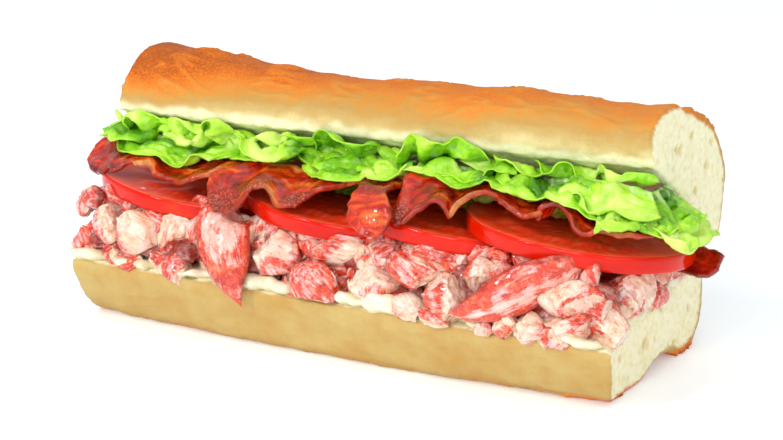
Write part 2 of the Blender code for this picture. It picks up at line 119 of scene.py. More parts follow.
def copy_of_node(name):
    bm = in_mm(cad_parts[name].data)
    bmesh.ops.remove_doubles(bm, verts=bm.verts, dist=MERGE_DISTANCE)
    return bm


def object_of(name, bm, *materials):
    """Puts a mesh into the scene as an object."""
    mesh = bpy.data.meshes.new(name)
    bm.to_mesh(mesh)
    bm.free()
    for material in materials:
        mesh.materials.append(material)
    made = bpy.data.objects.new(name, mesh)
    bpy.context.scene.collection.objects.link(made)
    return made


def remeshed(bm, voxel):
    """One closed skin of faces about voxel mm wide round everything in a mesh."""
    rough = object_of("rough", bm)
    mesh = rough.data
    wrap = rough.modifiers.new("wrap", "REMESH")
    wrap.mode = "VOXEL"
    wrap.voxel_size = voxel
    skin = bmesh.new()
    skin.from_mesh(rough.evaluated_get(bpy.context.evaluated_depsgraph_get()).data)
    bpy.data.objects.remove(rough)
    bpy.data.meshes.remove(mesh)
    return skin


def smooth(bm, times, factor=0.5):
    for _ in range(times):
        bmesh.ops.smooth_vert(bm, verts=bm.verts, factor=factor,
                              use_axis_x=True, use_axis_y=True, use_axis_z=True)

# %% Smooth lines and grids
def between(a, b, c, d, t):
    """Place on the Catmull-Rom curve from b to c, whose neighbours are a and d."""
    square, cube = 2 * a - 5 * b + 4 * c - d, 3 * b - a - 3 * c + d
    return 0.5 * (2 * b + (c - a) * t + square * t * t + cube * t ** 3)


def smooth_line(points, count):
    """Evenly spaced rows on a smooth curve through the given rows of numbers, and its length."""
    rows = np.array(points, float)
    padded = np.vstack([2 * rows[0] - rows[1], rows, 2 * rows[-1] - rows[-2]])
    dense = []
    for four in zip(padded, padded[1:], padded[2:], padded[3:]):
        dense += [between(*four, t) for t in np.linspace(0, 1, 16, endpoint=False)]
    dense = np.array(dense + [rows[-1]])
    travelled = np.concatenate([[0], np.cumsum(np.linalg.norm(np.diff(dense, axis=0), axis=1))])
    stops = np.linspace(0, travelled[-1], count)
    return np.stack([np.interp(stops, travelled, column) for column in dense.T], axis=1), travelled[-1]


def grid_through(bm, places, step):
    """Adds a grid whose vertices lie at places[row][column], with a UV map in millimetres."""
    rows, columns = places.shape[:2]
    uv = bm.loops.layers.uv.get("along and across") or bm.loops.layers.uv.new("along and across")
    bm.verts.ensure_lookup_table()
    old = len(bm.verts)
    bmesh.ops.create_grid(bm, x_segments=columns - 1, y_segments=rows - 1, size=1.0)
    bm.verts.ensure_lookup_table()
    added = bm.verts[old:]
    spots = {vert: divmod(number, columns) for number, vert in enumerate(added)}
    for vert, spot in spots.items():
        vert.co = places[spot]
    for face in {face for vert in added for face in vert.link_faces}:
        for loop in face.loops:
            row, column = spots[loop.vert]
            loop[uv].uv = (row * step, column * step)
    return spots

# %% Relief and finished pieces
def raise_relief(bm, heights):
    """Moves each vertex along its normal by its own height in millimetres."""
    bm.normal_update()
    for vert, height in zip(bm.verts, heights):
        vert.co += vert.normal * height


def lumps(bm, *waves):
    """Heights for relief, made of noises that are each given by height, size and seed."""
    return [sum(height * wander(vert.co, size, seed) for height, size, seed in waves) for vert in bm.verts]


def layers_for(bm, *names):
    """Layers that keep one number for each vertex, which a material reads by its name."""
    return [bm.verts.layers.float.new(name) for name in names]


def finish_piece(name, bm, material, slot, *replaced):
    """Object of a mesh drawn in millimetres. It rides on the body and hides the CAD nodes that it stands for.
    """
    bmesh.ops.transform(bm, matrix=TO_FRAME, verts=bm.verts)
    piece = object_of(name, bm, material)
    piece.data.shade_smooth()
    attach(piece, "root")
    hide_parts(*replaced)
    triangles = sum(len(face.vertices) - 2 for face in piece.data.polygons)
    print(f"{name}: {triangles} triangles, {[round(side / MM, 1) for side in piece.dimensions]} mm")


# %% [markdown]
# A material is a small graph of nodes. Each method below adds one node and gives its output
# back, so that a material reads like a recipe. Colours are written as the sRGB hex values that
# a screen shows, and one function turns them into the linear light that a shader adds up. The
# size of every pattern is given in millimetres.

# %% Material recipes
def linear(colour):
    """Linear RGBA of an sRGB hex colour."""
    parts = [int(colour[i:i + 2], 16) / 255 for i in (0, 2, 4)]
    return (*[p / 12.92 if p <= 0.04045 else ((p + 0.055) / 1.055) ** 2.4 for p in parts], 1.0)


class Recipe:
    """A material in the making. place is the point on the object, in metres."""

    def __init__(self, name):
        self.material = bpy.data.materials.new(name)
        self.material.use_nodes = True
        self.shader = self.material.node_tree.nodes["Principled BSDF"]
        self.place = self.add("TexCoord").outputs["Object"]

    def connect(self, socket, value):
        """Links another node's output to a socket, or sets a value or a hex colour on it."""
        if isinstance(value, bpy.types.NodeSocket):
            self.material.node_tree.links.new(value, socket)
        else:
            socket.default_value = linear(value) if isinstance(value, str) else value

    def add(self, kind, inputs=None, **settings):
        node = self.material.node_tree.nodes.new(f"ShaderNode{kind}")
        for name, value in settings.items():
            setattr(node, name, value)
        for key, value in (inputs or {}).items():
            self.connect(node.inputs[key], value)
        return node

    def kept(self, name, output="Fac"):
        """What each vertex keeps under a name."""
        return self.add("Attribute", attribute_name=name).outputs[output]

    def pattern(self, place, scale, detail, roughness=0.5, distortion=0.0):
        return self.add("TexNoise", {"Vector": place, "Scale": scale, "Detail": detail,
                                     "Roughness": roughness, "Distortion": distortion}).outputs["Fac"]

    def noise(self, size, *detail):
        """Pattern on the object with lumps about size mm wide."""
        return self.pattern(self.place, 1 / (size * MM), *detail)

    def spread(self, value, low, high, to_low=0.0, to_high=1.0):
        """Stretches the range from low to high over another range, and stops at its ends."""
        return self.add("MapRange", {"Value": value, "From Min": low, "From Max": high,
                                     "To Min": to_low, "To Max": to_high}).outputs[0]

    def math(self, operation, *values):
        return self.add("Math", dict(enumerate(values)), operation=operation).outputs[0]

    def ramp(self, value, *stops):
        """Colours between (position, hex colour) stops."""
        node = self.add("ValToRGB", {"Fac": value})
        elements = node.color_ramp.elements
        while len(elements) < len(stops):
            elements.new(0.5)
        for element, (position, colour) in zip(elements, stops):
            element.position = position
            element.color = linear(colour)
        return node.outputs["Color"]

    def mix(self, factor, first, second, blend="MIX"):
        """Two colours mixed, from the first at 0 to the second at 1."""
        return self.add("Mix", {"Factor": factor, 6: first, 7: second},
                        data_type="RGBA", blend_type=blend).outputs[2]

    def bump(self, height, strength, depth):
        """Normal of a skin that a height from 0 to 1 raises by depth mm."""
        inputs = {"Height": height, "Strength": strength, "Distance": depth * MM}
        return self.add("Bump", inputs).outputs[0]

    def finish(self, **sockets):
        """Feeds the shader: an underscore in a name stands for a space."""
        for name, value in sockets.items():
            self.connect(self.shader.inputs[name.replace("_", " ")], value)
        print(f"{self.material.name}: {len(self.material.node_tree.nodes)} nodes")
        return self.material


# %% [markdown]
# ## The roll
# A sub roll is a lean wheat dough that is baked in a low tray. Its top browns most, the sides
# stay golden, and the sides low down, where one roll touched the next, stay pale. The cut
# faces show an open crumb with round pores under a thin crust.
#
# A subdivided box could carry the browning, but not pores and wrinkles. So each half is a
# copy of its solid in a fine voxel skin, whose vertices are pushed in and out: folds and
# blisters on the crust, pores on the crumb. Three numbers for each vertex tell the material
# how brown the crust is, where there is crumb instead, and how much painted shade darkens
# it in a pore.

# %% Crust and crumb material
def bread_material():
    recipe = Recipe("baked wheat crust and crumb")
    browned, crumb, pore_shade = (recipe.kept(name) for name in ("browned", "crumb", "pore_shade"))
    # Patches of heat, and blisters the size of a pinhead that stay lighter than the skin round them.
    patches = recipe.spread(recipe.noise(7, 5.0), 0.3, 0.7, -0.07, 0.07)
    blisters = recipe.spread(recipe.noise(0.7, 2.0, 0.8), 0.38, 0.72, 0.08, -0.22)
    speckle = recipe.math("MULTIPLY", blisters, recipe.spread(browned, 0.25, 0.6, 0.12))
    heat = recipe.math("ADD", recipe.math("ADD", browned, patches), speckle)
    crust = recipe.ramp(heat, (0.0, "DCC88E"), (0.14, "C5A968"), (0.3, "BD9550"), (0.44, "CA8F3E"),
                        (0.6, "D8822C"), (0.8, "D87018"), (1.0, "AE5414"))
    # Crumb: cream, with painted shade that darkens it in its open pores.
    cells = recipe.ramp(recipe.noise(1.8, 4.0, 0.6), (0.32, "EDE0AC"), (0.46, "F3ECC2"), (0.6, "F8F2D2"))
    colour = recipe.mix(crumb, crust, recipe.mix(pore_shade, cells, "CFB668"))
    return recipe.finish(Base_Color=colour, Roughness=recipe.spread(crumb, 0.0, 1.0, 0.58, 0.85),
                         Normal=recipe.bump(recipe.noise(0.6, 4.0, 0.65), 0.5, 0.35), Subsurface_Weight=0.12,
                         Subsurface_Radius=(2.2, 1.3, 0.6), Subsurface_Scale=MM, Specular_IOR_Level=0.22)


BREAD = bread_material()

# %% Pores and wrinkles
def pore_depth(place, spacing, share, widest, seed):
    """How deep a place lies in one of the round pores, from 0 outside to 1 in the middle."""
    distances, points = noise.voronoi(place / spacing + Vector((seed, seed, seed)))
    if noise.cell(points[0] * 7.3) > share:
        return 0.0
    radius = widest / spacing * (0.45 + 0.55 * abs(noise.cell(points[0] * 3.1 + Vector((5, 5, 5)))))
    return ramp_up(radius - distances[0], 0.0, radius * 0.8)


def crumb_pores(place):
    """Depth of the pores of three sizes, in mm, and how much painted shade darkens the crumb there."""
    warped = place + 0.9 * Vector([wander(place, 3.0, seed) for seed in (2.0, 5.0, 9.0)])
    large = pore_depth(warped, 8.5, 0.55, 3.0, 3.0)
    middle = pore_depth(warped, 4.2, 0.4, 1.5, 8.0)
    small = pore_depth(warped, 2.2, 0.4, 0.8, 14.0)
    return 1.3 * large + 0.6 * middle + 0.3 * small, min(1.0, 0.9 * large + 0.4 * middle + 0.12 * small)


def crease(place):
    """Long shallow folds of the top crust, from 0 to 1, which run along the roll."""
    stretched = Vector((place.x / 3.2 + place.y * 0.4, place.y, place.z))
    fold = max(0.0, 1 - abs(wander(stretched, 4.0, 21.0)) * 4.2) ** 1.5
    return fold * ramp_up(wander(place, 14.0, 25.0), -0.2, 0.2)


def crust_wrinkles(place, browned):
    """Height of the crust's relief in mm: creases where it is brown, dimples where it is pale."""
    blisters = wander(place, 1.9, 31.0) * 0.10 + wander(place, 4.2, 37.0) * 0.14
    lowered = Vector((place.x, place.y, place.z * 0.6))
    dimples = wander(lowered, 3.4, 43.0) * 0.40 + wander(place, 1.7, 45.0) * 0.16
    waves = wander(place, 16.0, 47.0) * 0.4
    return waves + browned * (1.3 * crease(place) + blisters) + (1 - browned) * dimples


# %% [markdown]
# The browning follows the height in the oven. On the top half it fades out on the way down to
# the cut, sooner at the front than at the back, and the knife has frayed the last few
# millimetres to crumb. The bottom half is golden, and brown only along its foot, where it stood
# on the tray. A shallow score runs in from the right end. On a cut face, the crust shows as a
# thin rim: crumb begins a millimetre in from it.

# %% Browning
def top_browning(place):
    back = ramp_up(place.y, -6.0, 26.0)
    right = along_roll(place.x)
    low, high = 61.5 + 4.5 * right - 26.0 * back, 77.0 + 6.0 * right - 8.0 * back
    height = place.z + 2.0 * wander(place, 24.0, 3.0)
    heat = (1.0 - 0.34 * right) * ramp_up(height, low, high) + 0.05 * wander(place, 30.0, 4.0)
    return heat - 0.2 * crease(place) * ramp_up(heat, 0.3, 0.8) - 0.35 * score_depth(place)


def bottom_browning(place):
    foot = 1 - ramp_up(place.z + 1.2 * wander(place, 12.0, 6.0), 0.2, 3.8)
    return 0.22 + 0.08 * wander(place, 20.0, 8.0) + foot * (0.15 + 0.6 * ramp_up(place.x, 62.0, 88.0))


def score_depth(place):
    """Cut that the baker made along the top of the right end, from 66 mm on."""
    reach = ramp_up(place.x, 64.0, 78.0)
    across = (place.y - 12.0) / 2.4
    return reach * math.exp(-across * across) if place.z > 60 else 0.0


def frayed_edge(place):
    """How far the knife has torn the top half's lower front edge to crumb."""
    above = place.z - cut_edges(place.x)[1] + 1.6 * wander(place, 5.0, 61.0)
    return 0.8 * (1 - ramp_up(above, 1.4, 3.6)) * (1 - ramp_up(place.y, 5.0, 10.0))


# %% Bake both halves
def bake_half(name, node, browning, is_cut, fray, hinge_lift):
    """One half of the roll: voxel skin of the solid, crust relief, crumb pores."""
    def shows_crumb(normal):
        return abs(normal.x) > 0.8 or is_cut(normal)

    solid = copy_of_node(node)
    solid.normal_update()
    tree = BVHTree.FromBMesh(solid)
    crust = solid.copy()
    bmesh.ops.delete(crust, geom=[face for face in crust.faces if shows_crumb(face.normal)], context="FACES")
    crust_tree = BVHTree.FromBMesh(crust)
    crust.free()
    skin = remeshed(solid, 0.8)
    smooth(skin, 5)
    crumb_layer, browned_layer, pore_shade_layer = layers_for(skin, "crumb", "browned", "pore_shade")
    heights = []
    for vert in skin.verts:
        place = vert.co
        rim = crust_tree.find_nearest(place)[3] + 0.5 * wander(place, 2.0, 71.0)
        rim -= 1.5 * ramp_up(place.y, 5, 25)
        inside = shows_crumb(tree.find_nearest(place)[1])
        crumb = max(ramp_up(rim, 0.7, 1.5) if inside else 0.0, fray(place))
        browned = browning(place)
        depth, shade_in_pores = crumb_pores(place) if crumb > 0.3 else (0.0, 0.0)
        # Crumb in the open pores gets painted shade in the material.
        vert[crumb_layer], vert[browned_layer], vert[pore_shade_layer] = crumb, browned, crumb * shade_in_pores
        crust_height = crust_wrinkles(place, max(0.0, min(1.0, browned))) - 3.0 * score_depth(place)
        heights.append((1 - crumb) * crust_height - crumb * (depth - 0.3 * wander(place, 2.4, 51.0)))
    raise_relief(skin, heights)
    for vert in skin.verts:
        vert.co.z += hinge_lift * ramp_up(vert.co.y, 28.0, 33.0) * ramp_up(vert.co.z, 24.0, 29.0)
        vert.co.z = max(vert.co.z, 0.0)
    finish_piece(name, skin, BREAD, "bread", node)


bake_half("roll_top", "bun_top", top_browning, lambda normal: normal.z < -0.7, frayed_edge, 0.0)
# The bottom half's hinge is lifted until it closes against the top half.
bake_half("roll_bottom", "bun_bottom", bottom_browning, lambda normal: normal.z > 0.5 and normal.y < 0.4,
          lambda place: 0.0, 1.1)

# %% [markdown]
# ## Mayonnaise
# Mayonnaise is an emulsion of oil in egg: opaque, off-white and glossy, in soft dabs without
# any edge. The thin layer on the crumb is a copy of its solid, flattened balls are added where
# a knife left more of it along the front, and one voxel skin melts them together.

# %% Mayonnaise
def mayonnaise_material():
    recipe = Recipe("mayonnaise, spread with a knife")
    colour = recipe.ramp(recipe.noise(6, 3.0), (0.3, "DDD3AC"), (0.55, "E9E2C4"), (0.75, "F1ECD8"))
    bumps = recipe.bump(recipe.noise(2.2, 4.0), 0.3, 0.4)
    return recipe.finish(Base_Color=colour, Roughness=0.22, Normal=bumps, Subsurface_Weight=0.35,
                         Subsurface_Radius=(2.0, 1.6, 1.0), Subsurface_Scale=MM, Specular_IOR_Level=0.5)


def crumb_level(x, y):
    """Height of the bottom half's cut face."""
    return 19.8 + 12.2 * max(0.0, (y + 6) / (cut_edges(x)[2] + 6)) ** 2.2


def ball(bm, centre, radii, turn=0.0, detail=3):
    """Stretched icosphere added to a mesh; returns its vertices."""
    place = Matrix.Translation(centre) @ Matrix.Rotation(turn, 4, "Z") @ Matrix.Diagonal((*radii, 1))
    return bmesh.ops.create_icosphere(bm, subdivisions=detail, radius=1.0, matrix=place)["verts"]


# Dabs along the front, from left to right: where along the roll, half width, half height.
DABS = ((-82, 6, 2.4), (-70, 5, 1.6), (-61, 4, 2.0), (-45, 4, 1.8), (-20, 6, 3.8), (-12, 5, 2.8),
        (10, 5, 2.8), (19, 7, 4.6), (28, 5, 2.8), (51, 4, 2.6), (82, 5, 2.2), (88, 4, 2.0))


def spread_mayonnaise():
    rng = random.Random(5)
    bm = copy_of_node("mayonnaise")
    for x, width, height in DABS:
        for _ in range(3):
            along, out = x + rng.uniform(-0.6, 0.6) * width, -37.8 + rng.uniform(-0.8, 0.8)
            spot = Vector((along, out, 20.4 + 0.5 * height))
            radii = (width * rng.uniform(0.45, 0.7), rng.uniform(2.0, 2.8), height * rng.uniform(0.6, 0.9))
            ball(bm, spot, radii, rng.uniform(-0.3, 0.3))
    for y in range(-30, 28, 6):
        spot = Vector((86.6 + rng.uniform(-0.6, 0.5), y, crumb_level(86, y) + 1.6))
        ball(bm, spot, (rng.uniform(1.6, 2.6), rng.uniform(3, 4.5), rng.uniform(1.2, 2.0)))
    skin = remeshed(bm, 0.7)
    smooth(skin, 6)
    raise_relief(skin, lumps(skin, (0.75, 4.0, 12.0), (0.25, 1.5, 19.0)))
    for vert in skin.verts:
        low = 1 - ramp_up(vert.co.z - crumb_level(vert.co.x, vert.co.y), 0.5, 2.0)
        vert.co.z -= 0.9 * low
        vert.co.y += 2.2 * low * (1 - ramp_up(vert.co.y, -37.0, -31.0))
    finish_piece("mayonnaise_spread", skin, mayonnaise_material(), "mayonnaise", "mayonnaise")


spread_mayonnaise()

# %% [markdown]
# ## Tomato
# A beefsteak tomato is cut across into slices 5 mm thick. Each has a smooth, tight skin round
# its side, a firm wall of flesh inside it, and wet chambers of seeds further in. The cut face
# sinks a little between wall and core as it loses juice.
#
# A slice is its own outline turned about its middle, so half a section is drawn as one line
# and spun. The slices lean on each other, so each is sheared to its slope, and it is trimmed at
# the back, where the roll closes over it.

# %% Tomato material
def tomato_material():
    recipe = Recipe("ripe tomato, freshly cut")
    skin = recipe.kept("skin")
    radial = recipe.add("UVMap").outputs["UV"]  # u runs round the slice, v out from its middle
    streaks = recipe.add("Mapping", {"Vector": radial, "Scale": (90.0, 5.0, 1.0)}).outputs[0]
    # The cut flesh has its own red, but it is lifted much brighter than the skin so that the shaded cut faces
    # look lit: partly painted light.
    flesh = recipe.ramp(recipe.pattern(streaks, 1.0, 4.0), (0.28, "FF2A0C"), (0.5, "FF4018"), (0.7, "FF6840"))
    tight_skin = recipe.ramp(recipe.noise(14, 2.0), (0.3, "C80E00"), (0.6, "E01E00"), (0.8, "F03A0C"))
    out = recipe.add("SeparateXYZ", {0: radial}).outputs["Y"]
    # Painted highlight: a thin pale line round the rim of each cut face.
    rim_highlight = recipe.ramp(out, (0.93, "000000"), (0.965, "B0B0B0"), (0.985, "202020"))
    colour = recipe.mix(skin, recipe.mix(rim_highlight, flesh, "F58A66"), tight_skin)
    return recipe.finish(Base_Color=colour, Roughness=recipe.spread(skin, 0.0, 1.0, 0.36, 0.13),
                         Normal=recipe.bump(recipe.noise(1.4, 3.0), 0.22, 0.3), Subsurface_Weight=0.5,
                         Subsurface_Radius=(5.0, 0.8, 0.4), Subsurface_Scale=MM, Specular_IOR_Level=0.1,
                         Coat_Weight=recipe.spread(skin, 0.0, 1.0, 0.05, 0.4), Coat_Roughness=0.08)


TOMATO = tomato_material()

# %% Slices
TOMATO_RADIUS, TOMATO_THICKNESS = 33.0, 4.8
TOMATO_SLOPES = (-0.10, -0.12)  # rise to the right and to the back
TOMATO_BACK = 15.0
TURN_STEPS, FACE_STEPS, RIM_STEPS = 168, 24, 12


def section_of_slice():
    """Half a section from the lower face's middle round to the upper one's: distance out, height, skin."""
    half = TOMATO_THICKNESS / 2
    faces = []
    for step in range(FACE_STEPS):
        out = 1.2 + (TOMATO_RADIUS - 2.0) * step / (FACE_STEPS - 1)
        sink = 0.45 * math.exp(-((out - 24.5) / 4.5) ** 2) + 0.8 * ramp_up(22 - out, 0, 8)
        faces.append((out, half - sink))
    rim = []
    for step in range(1, RIM_STEPS):
        turn = math.pi * (step / RIM_STEPS - 0.5)
        height = half * math.copysign(abs(math.sin(turn)) ** 0.75, turn)
        rim.append((TOMATO_RADIUS - 0.8 + 0.8 * math.cos(turn) ** 0.6, height, 1.0))
    lower = [(out, -height, 0.0) for out, height in faces]
    upper = [(out, height, 0.0) for out, height in faces[::-1]]
    return lower + rim + upper


def spun_slice():
    """The section turned about the middle of the slice, with a UV map of turn and distance."""
    bm = bmesh.new()
    skin_layer, = layers_for(bm, "skin")
    line = []
    for out, height, skin in section_of_slice():
        line.append(bm.verts.new((out, 0, height)))
        line[-1][skin_layer] = skin
    edges = [bm.edges.new(pair) for pair in zip(line, line[1:])]
    bmesh.ops.spin(bm, geom=line + edges, cent=(0, 0, 0), axis=(0, 0, 1), angle=2 * math.pi,
                   steps=TURN_STEPS, use_merge=True)
    bmesh.ops.holes_fill(bm, edges=[edge for edge in bm.edges if edge.is_boundary])
    bmesh.ops.recalc_face_normals(bm, faces=bm.faces)
    uv = bm.loops.layers.uv.new("turn and distance")
    for face in bm.faces:
        middle = face.calc_center_median()
        around = math.atan2(middle.y, middle.x)
        for loop in face.loops:
            x, y, _ = loop.vert.co
            turn = math.atan2(y, x)
            turn += 2 * math.pi * round((around - turn) / (2 * math.pi))
            loop[uv].uv = (turn / (2 * math.pi), math.hypot(x, y) / TOMATO_RADIUS)
    return bm


def cut_slice(number):
    """One slice: ribbed, with chambers, sheared to its slope and trimmed at the back."""
    low, high = (FROM_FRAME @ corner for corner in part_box(f"tomato_slice_{number}"))
    lean = math.hypot(*TOMATO_SLOPES) * TOMATO_RADIUS
    centre = Vector(((low.x + high.x) / 2, low.y + TOMATO_RADIUS, high.z - TOMATO_THICKNESS / 2 - lean))
    bm = spun_slice()
    for vert in bm.verts:
        x, y, z = vert.co
        turn, out = math.atan2(y, x), math.hypot(x, y) / TOMATO_RADIUS
        ribs = 1 + 0.006 * out * math.cos(5 * turn + number) + 0.004 * out * math.cos(9 * turn + 2 * number)
        chambers = 0.5 * ramp_up(0.74 - out, 0, 0.1) * math.sin(6 * turn + number) if out > 0.25 else 0.0
        z += math.copysign(chambers + 0.25 * wander(Vector((x, y, 9.0 * number)), 9.0, 4.0), z)
        vert.co = (x * ribs, y * ribs, z + TOMATO_SLOPES[0] * x + TOMATO_SLOPES[1] * y)
    bmesh.ops.translate(bm, verts=bm.verts, vec=centre)
    cut = bmesh.ops.bisect_plane(bm, geom=bm.verts[:] + bm.edges[:] + bm.faces[:], dist=0.001,
                                 plane_co=(0, TOMATO_BACK, 0), plane_no=(0, 1, 0), clear_outer=True)
    bmesh.ops.holes_fill(bm, edges=[item for item in cut["geom_cut"] if isinstance(item, bmesh.types.BMEdge)])
    bmesh.ops.recalc_face_normals(bm, faces=bm.faces)
    finish_piece(f"tomato_{number}", bm, TOMATO, "tomato", f"tomato_slice_{number}")


for slice_number in (1, 2, 3, 4):
    cut_slice(slice_number)

# %% [markdown]
# ## Lobster salad
# Cooked lobster meat is white, with a thin red skin where it lay against the shell. Pulled
# apart by hand, it tears along its fibres, so a chunk has rounded red sides and ragged, stringy
# white faces. It is tossed in a little mayonnaise, which leaves a pale pink film.
#
# Each chunk starts as a round ball, is pressed flat where it tore, and the torn faces get
# fibres and a frayed rim. Each vertex remembers how much red skin it has, how much painted
# shade darkens it, and its place along and across the chunk's own fibres. The heap behind the
# chunks is a smoothed, slightly smaller copy of its solid, so that no gap shows the bread, and
# it is painted dark all over as painted shade.

# %% Lobster material
def lobster_material(name, film, *flesh_stops):
    """Meat with red skin, under streaks of mayonnaise of a given strength, darkened by painted shade where it
    lies in shadow.
    """
    recipe = Recipe(name)
    grain = recipe.kept("grain", "Vector")  # the place in mm, squeezed along the fibres
    flesh = recipe.ramp(recipe.pattern(grain, 0.55, 5.0, 0.7), *flesh_stops)
    reds = recipe.ramp(recipe.noise(2.4, 6.0, 0.72, 0.9),
                       (0.34, "9C1606"), (0.46, "D22E0E"), (0.56, "E85028"), (0.68, "F4865C"))
    border = recipe.spread(recipe.pattern(grain, 0.35, 6.0, 0.75), 0.3, 0.7, -0.55, 0.55)
    ragged = recipe.spread(recipe.math("ADD", recipe.kept("skin"), border), 0.3, 0.62)
    meat = recipe.mix(ragged, flesh, reds)
    # The film of mayonnaise lies in streaks along the fibres and gathers in patches.
    streaks = recipe.pattern(grain, 0.9, 4.0, 0.6, 0.5)
    wiped = recipe.math("ADD", streaks, recipe.noise(4.5, 5.0, 0.65))
    coated = recipe.spread(wiped, 1.10 - 0.2 * film, 1.34 - 0.2 * film, 0.0, 0.78)
    # Painted shade: the meat is multiplied towards a deep red-brown on the heap behind the chunks, on the
    # chunks' sides that face into it, and on the claws' edges.
    painted_shade = recipe.math("MULTIPLY", recipe.kept("painted_shade"), 0.85)
    colour = recipe.mix(painted_shade, recipe.mix(coated, meat, "F3D3CC"), "8E2A1C", "MULTIPLY")
    height = recipe.math("ADD", recipe.noise(1.1, 4.0, 0.6), streaks)
    return recipe.finish(Base_Color=colour, Roughness=0.17, Normal=recipe.bump(height, 0.7, 0.6),
                         Subsurface_Weight=0.15, Subsurface_Radius=(2.4, 0.9, 0.6), Subsurface_Scale=MM,
                         Specular_IOR_Level=0.5, Coat_Weight=0.7, Coat_Roughness=0.04)


LOBSTER = lobster_material("lobster tail meat, torn and dressed", 0.7,
                           (0.32, "C46E50"), (0.44, "EABA98"), (0.56, "F5D9BE"), (0.68, "FDF2E4"))
CLAW = lobster_material("lobster claw meat with its red skin", 0.12,
                        (0.3, "E88470"), (0.5, "F4B0A0"), (0.7, "FBD8CC"))

# %% The heap behind the chunks
def meat_layers(bm):
    """Layers of red skin, painted shade, and grain, the place that the fibre pattern reads."""
    return layers_for(bm, "skin", "painted_shade") + [bm.verts.layers.float_vector.new("grain")]


def keep_grain(verts, layer, fibres, offset=0.0):
    """Notes each vertex's place in mm for the fibre pattern: a sixth as long along the fibres as across."""
    along = fibres.normalized()
    for vert in verts:
        vert[layer] = vert.co - along * (vert.co.dot(along) * 5 / 6) + Vector((offset, offset, offset))


def heap_body():
    bm = remeshed(copy_of_node("lobster_salad"), 1.3)
    smooth(bm, 3)
    raise_relief(bm, [0.9 * wander(vert.co, 3.0, 61.0) - 1.3 for vert in bm.verts])
    skin, painted_shade, grain = meat_layers(bm)
    for vert in bm.verts:
        vert[skin] = 0.62 + 0.5 * wander(vert.co, 5.0, 63.0)
        # Painted shade: the heap behind the chunks is darkened all over.
        vert[painted_shade] = 0.9
    keep_grain(bm.verts, grain, Vector((1, 0, 0.2)))
    finish_piece("lobster_body", bm, LOBSTER, "lobster", "lobster_salad")


heap_body()

# %% One torn chunk
def random_direction(rng, *ranges):
    return Vector([rng.uniform(low, high) for low, high in ranges]).normalized()


def torn_chunk(bm, layers, centre, radii, rng, red, turn, tears=6, detail=5):
    """Adds a chunk: a lumpy ball with torn faces. red is the share of it that has skin."""
    skin, painted_shade, grain = layers
    verts = ball(bm, Vector(), radii, detail=detail)
    size = sum(radii) / 3
    seed = rng.uniform(0, 60)
    fibres = random_direction(rng, (-1, 1), (-0.4, 0.4), (-1, 1))
    skin_side = random_direction(rng, (-0.8, 0.8), (-1.0, 0.2), (-0.6, 1.0))
    for vert in verts:
        large, small = wander(vert.co, size * 1.1, seed), wander(vert.co, size * 0.45, seed + 3)
        vert.co *= 1.12 + 0.13 * large + 0.05 * small
        vert[skin] = ramp_up(vert.co.normalized().dot(skin_side), 1 - 2 * red - 0.5, 1 - 2 * red + 0.4)
    for _ in range(tears):
        tear = random_direction(rng, (-1, 1), (-1, 0.3), (-1, 1))
        level = max(vert.co.dot(tear) for vert in verts) * rng.uniform(0.52, 0.86)
        keeps_skin = rng.uniform(0.1, 0.9)
        for vert in verts:
            beyond = vert.co.dot(tear) - level
            if beyond > 0:
                across = vert.co - fibres * vert.co.dot(fibres) * 0.92
                rough = 0.45 * wander(across, 1.5, seed + 11) + 0.5 * wander(vert.co, 3.4, seed + 13)
                torn = ramp_up(beyond, 0, size * 0.12)
                vert.co -= tear * (beyond * 0.97 - rough * torn)
                vert[skin] *= 1 - (1 - keeps_skin) * torn
            elif beyond > -0.08 * size:
                vert.co += tear * max(0.0, wander(vert.co, 1.3, seed + 17)) * 0.8
    keep_grain(verts, grain, fibres, seed)
    tip = Matrix.Rotation(rng.uniform(-0.4, 0.4), 4, "X") @ Matrix.Rotation(turn, 4, "Y")
    tip = tip @ Matrix.Rotation(rng.uniform(-0.4, 0.4), 4, "Z")
    bmesh.ops.transform(bm, matrix=Matrix.Translation(centre) @ tip, verts=verts)
    # Painted shade: each chunk is darkened on the side that faces into the heap.
    inward = Vector((0, 1, 0)) if abs(centre.x) < 84 else Vector((-math.copysign(1, centre.x), 0.3, 0))
    for vert in verts:
        vert[painted_shade] = ramp_up((vert.co - centre).dot(inward) / max(radii), 0.0, 0.65)


# %% [markdown]
# The chunks that face the front were placed one by one, since their sizes and colours vary
# most: tail rounds as wide as 17 mm, pale flakes, and small scraps. The rest of the heap gets
# random ones behind them.

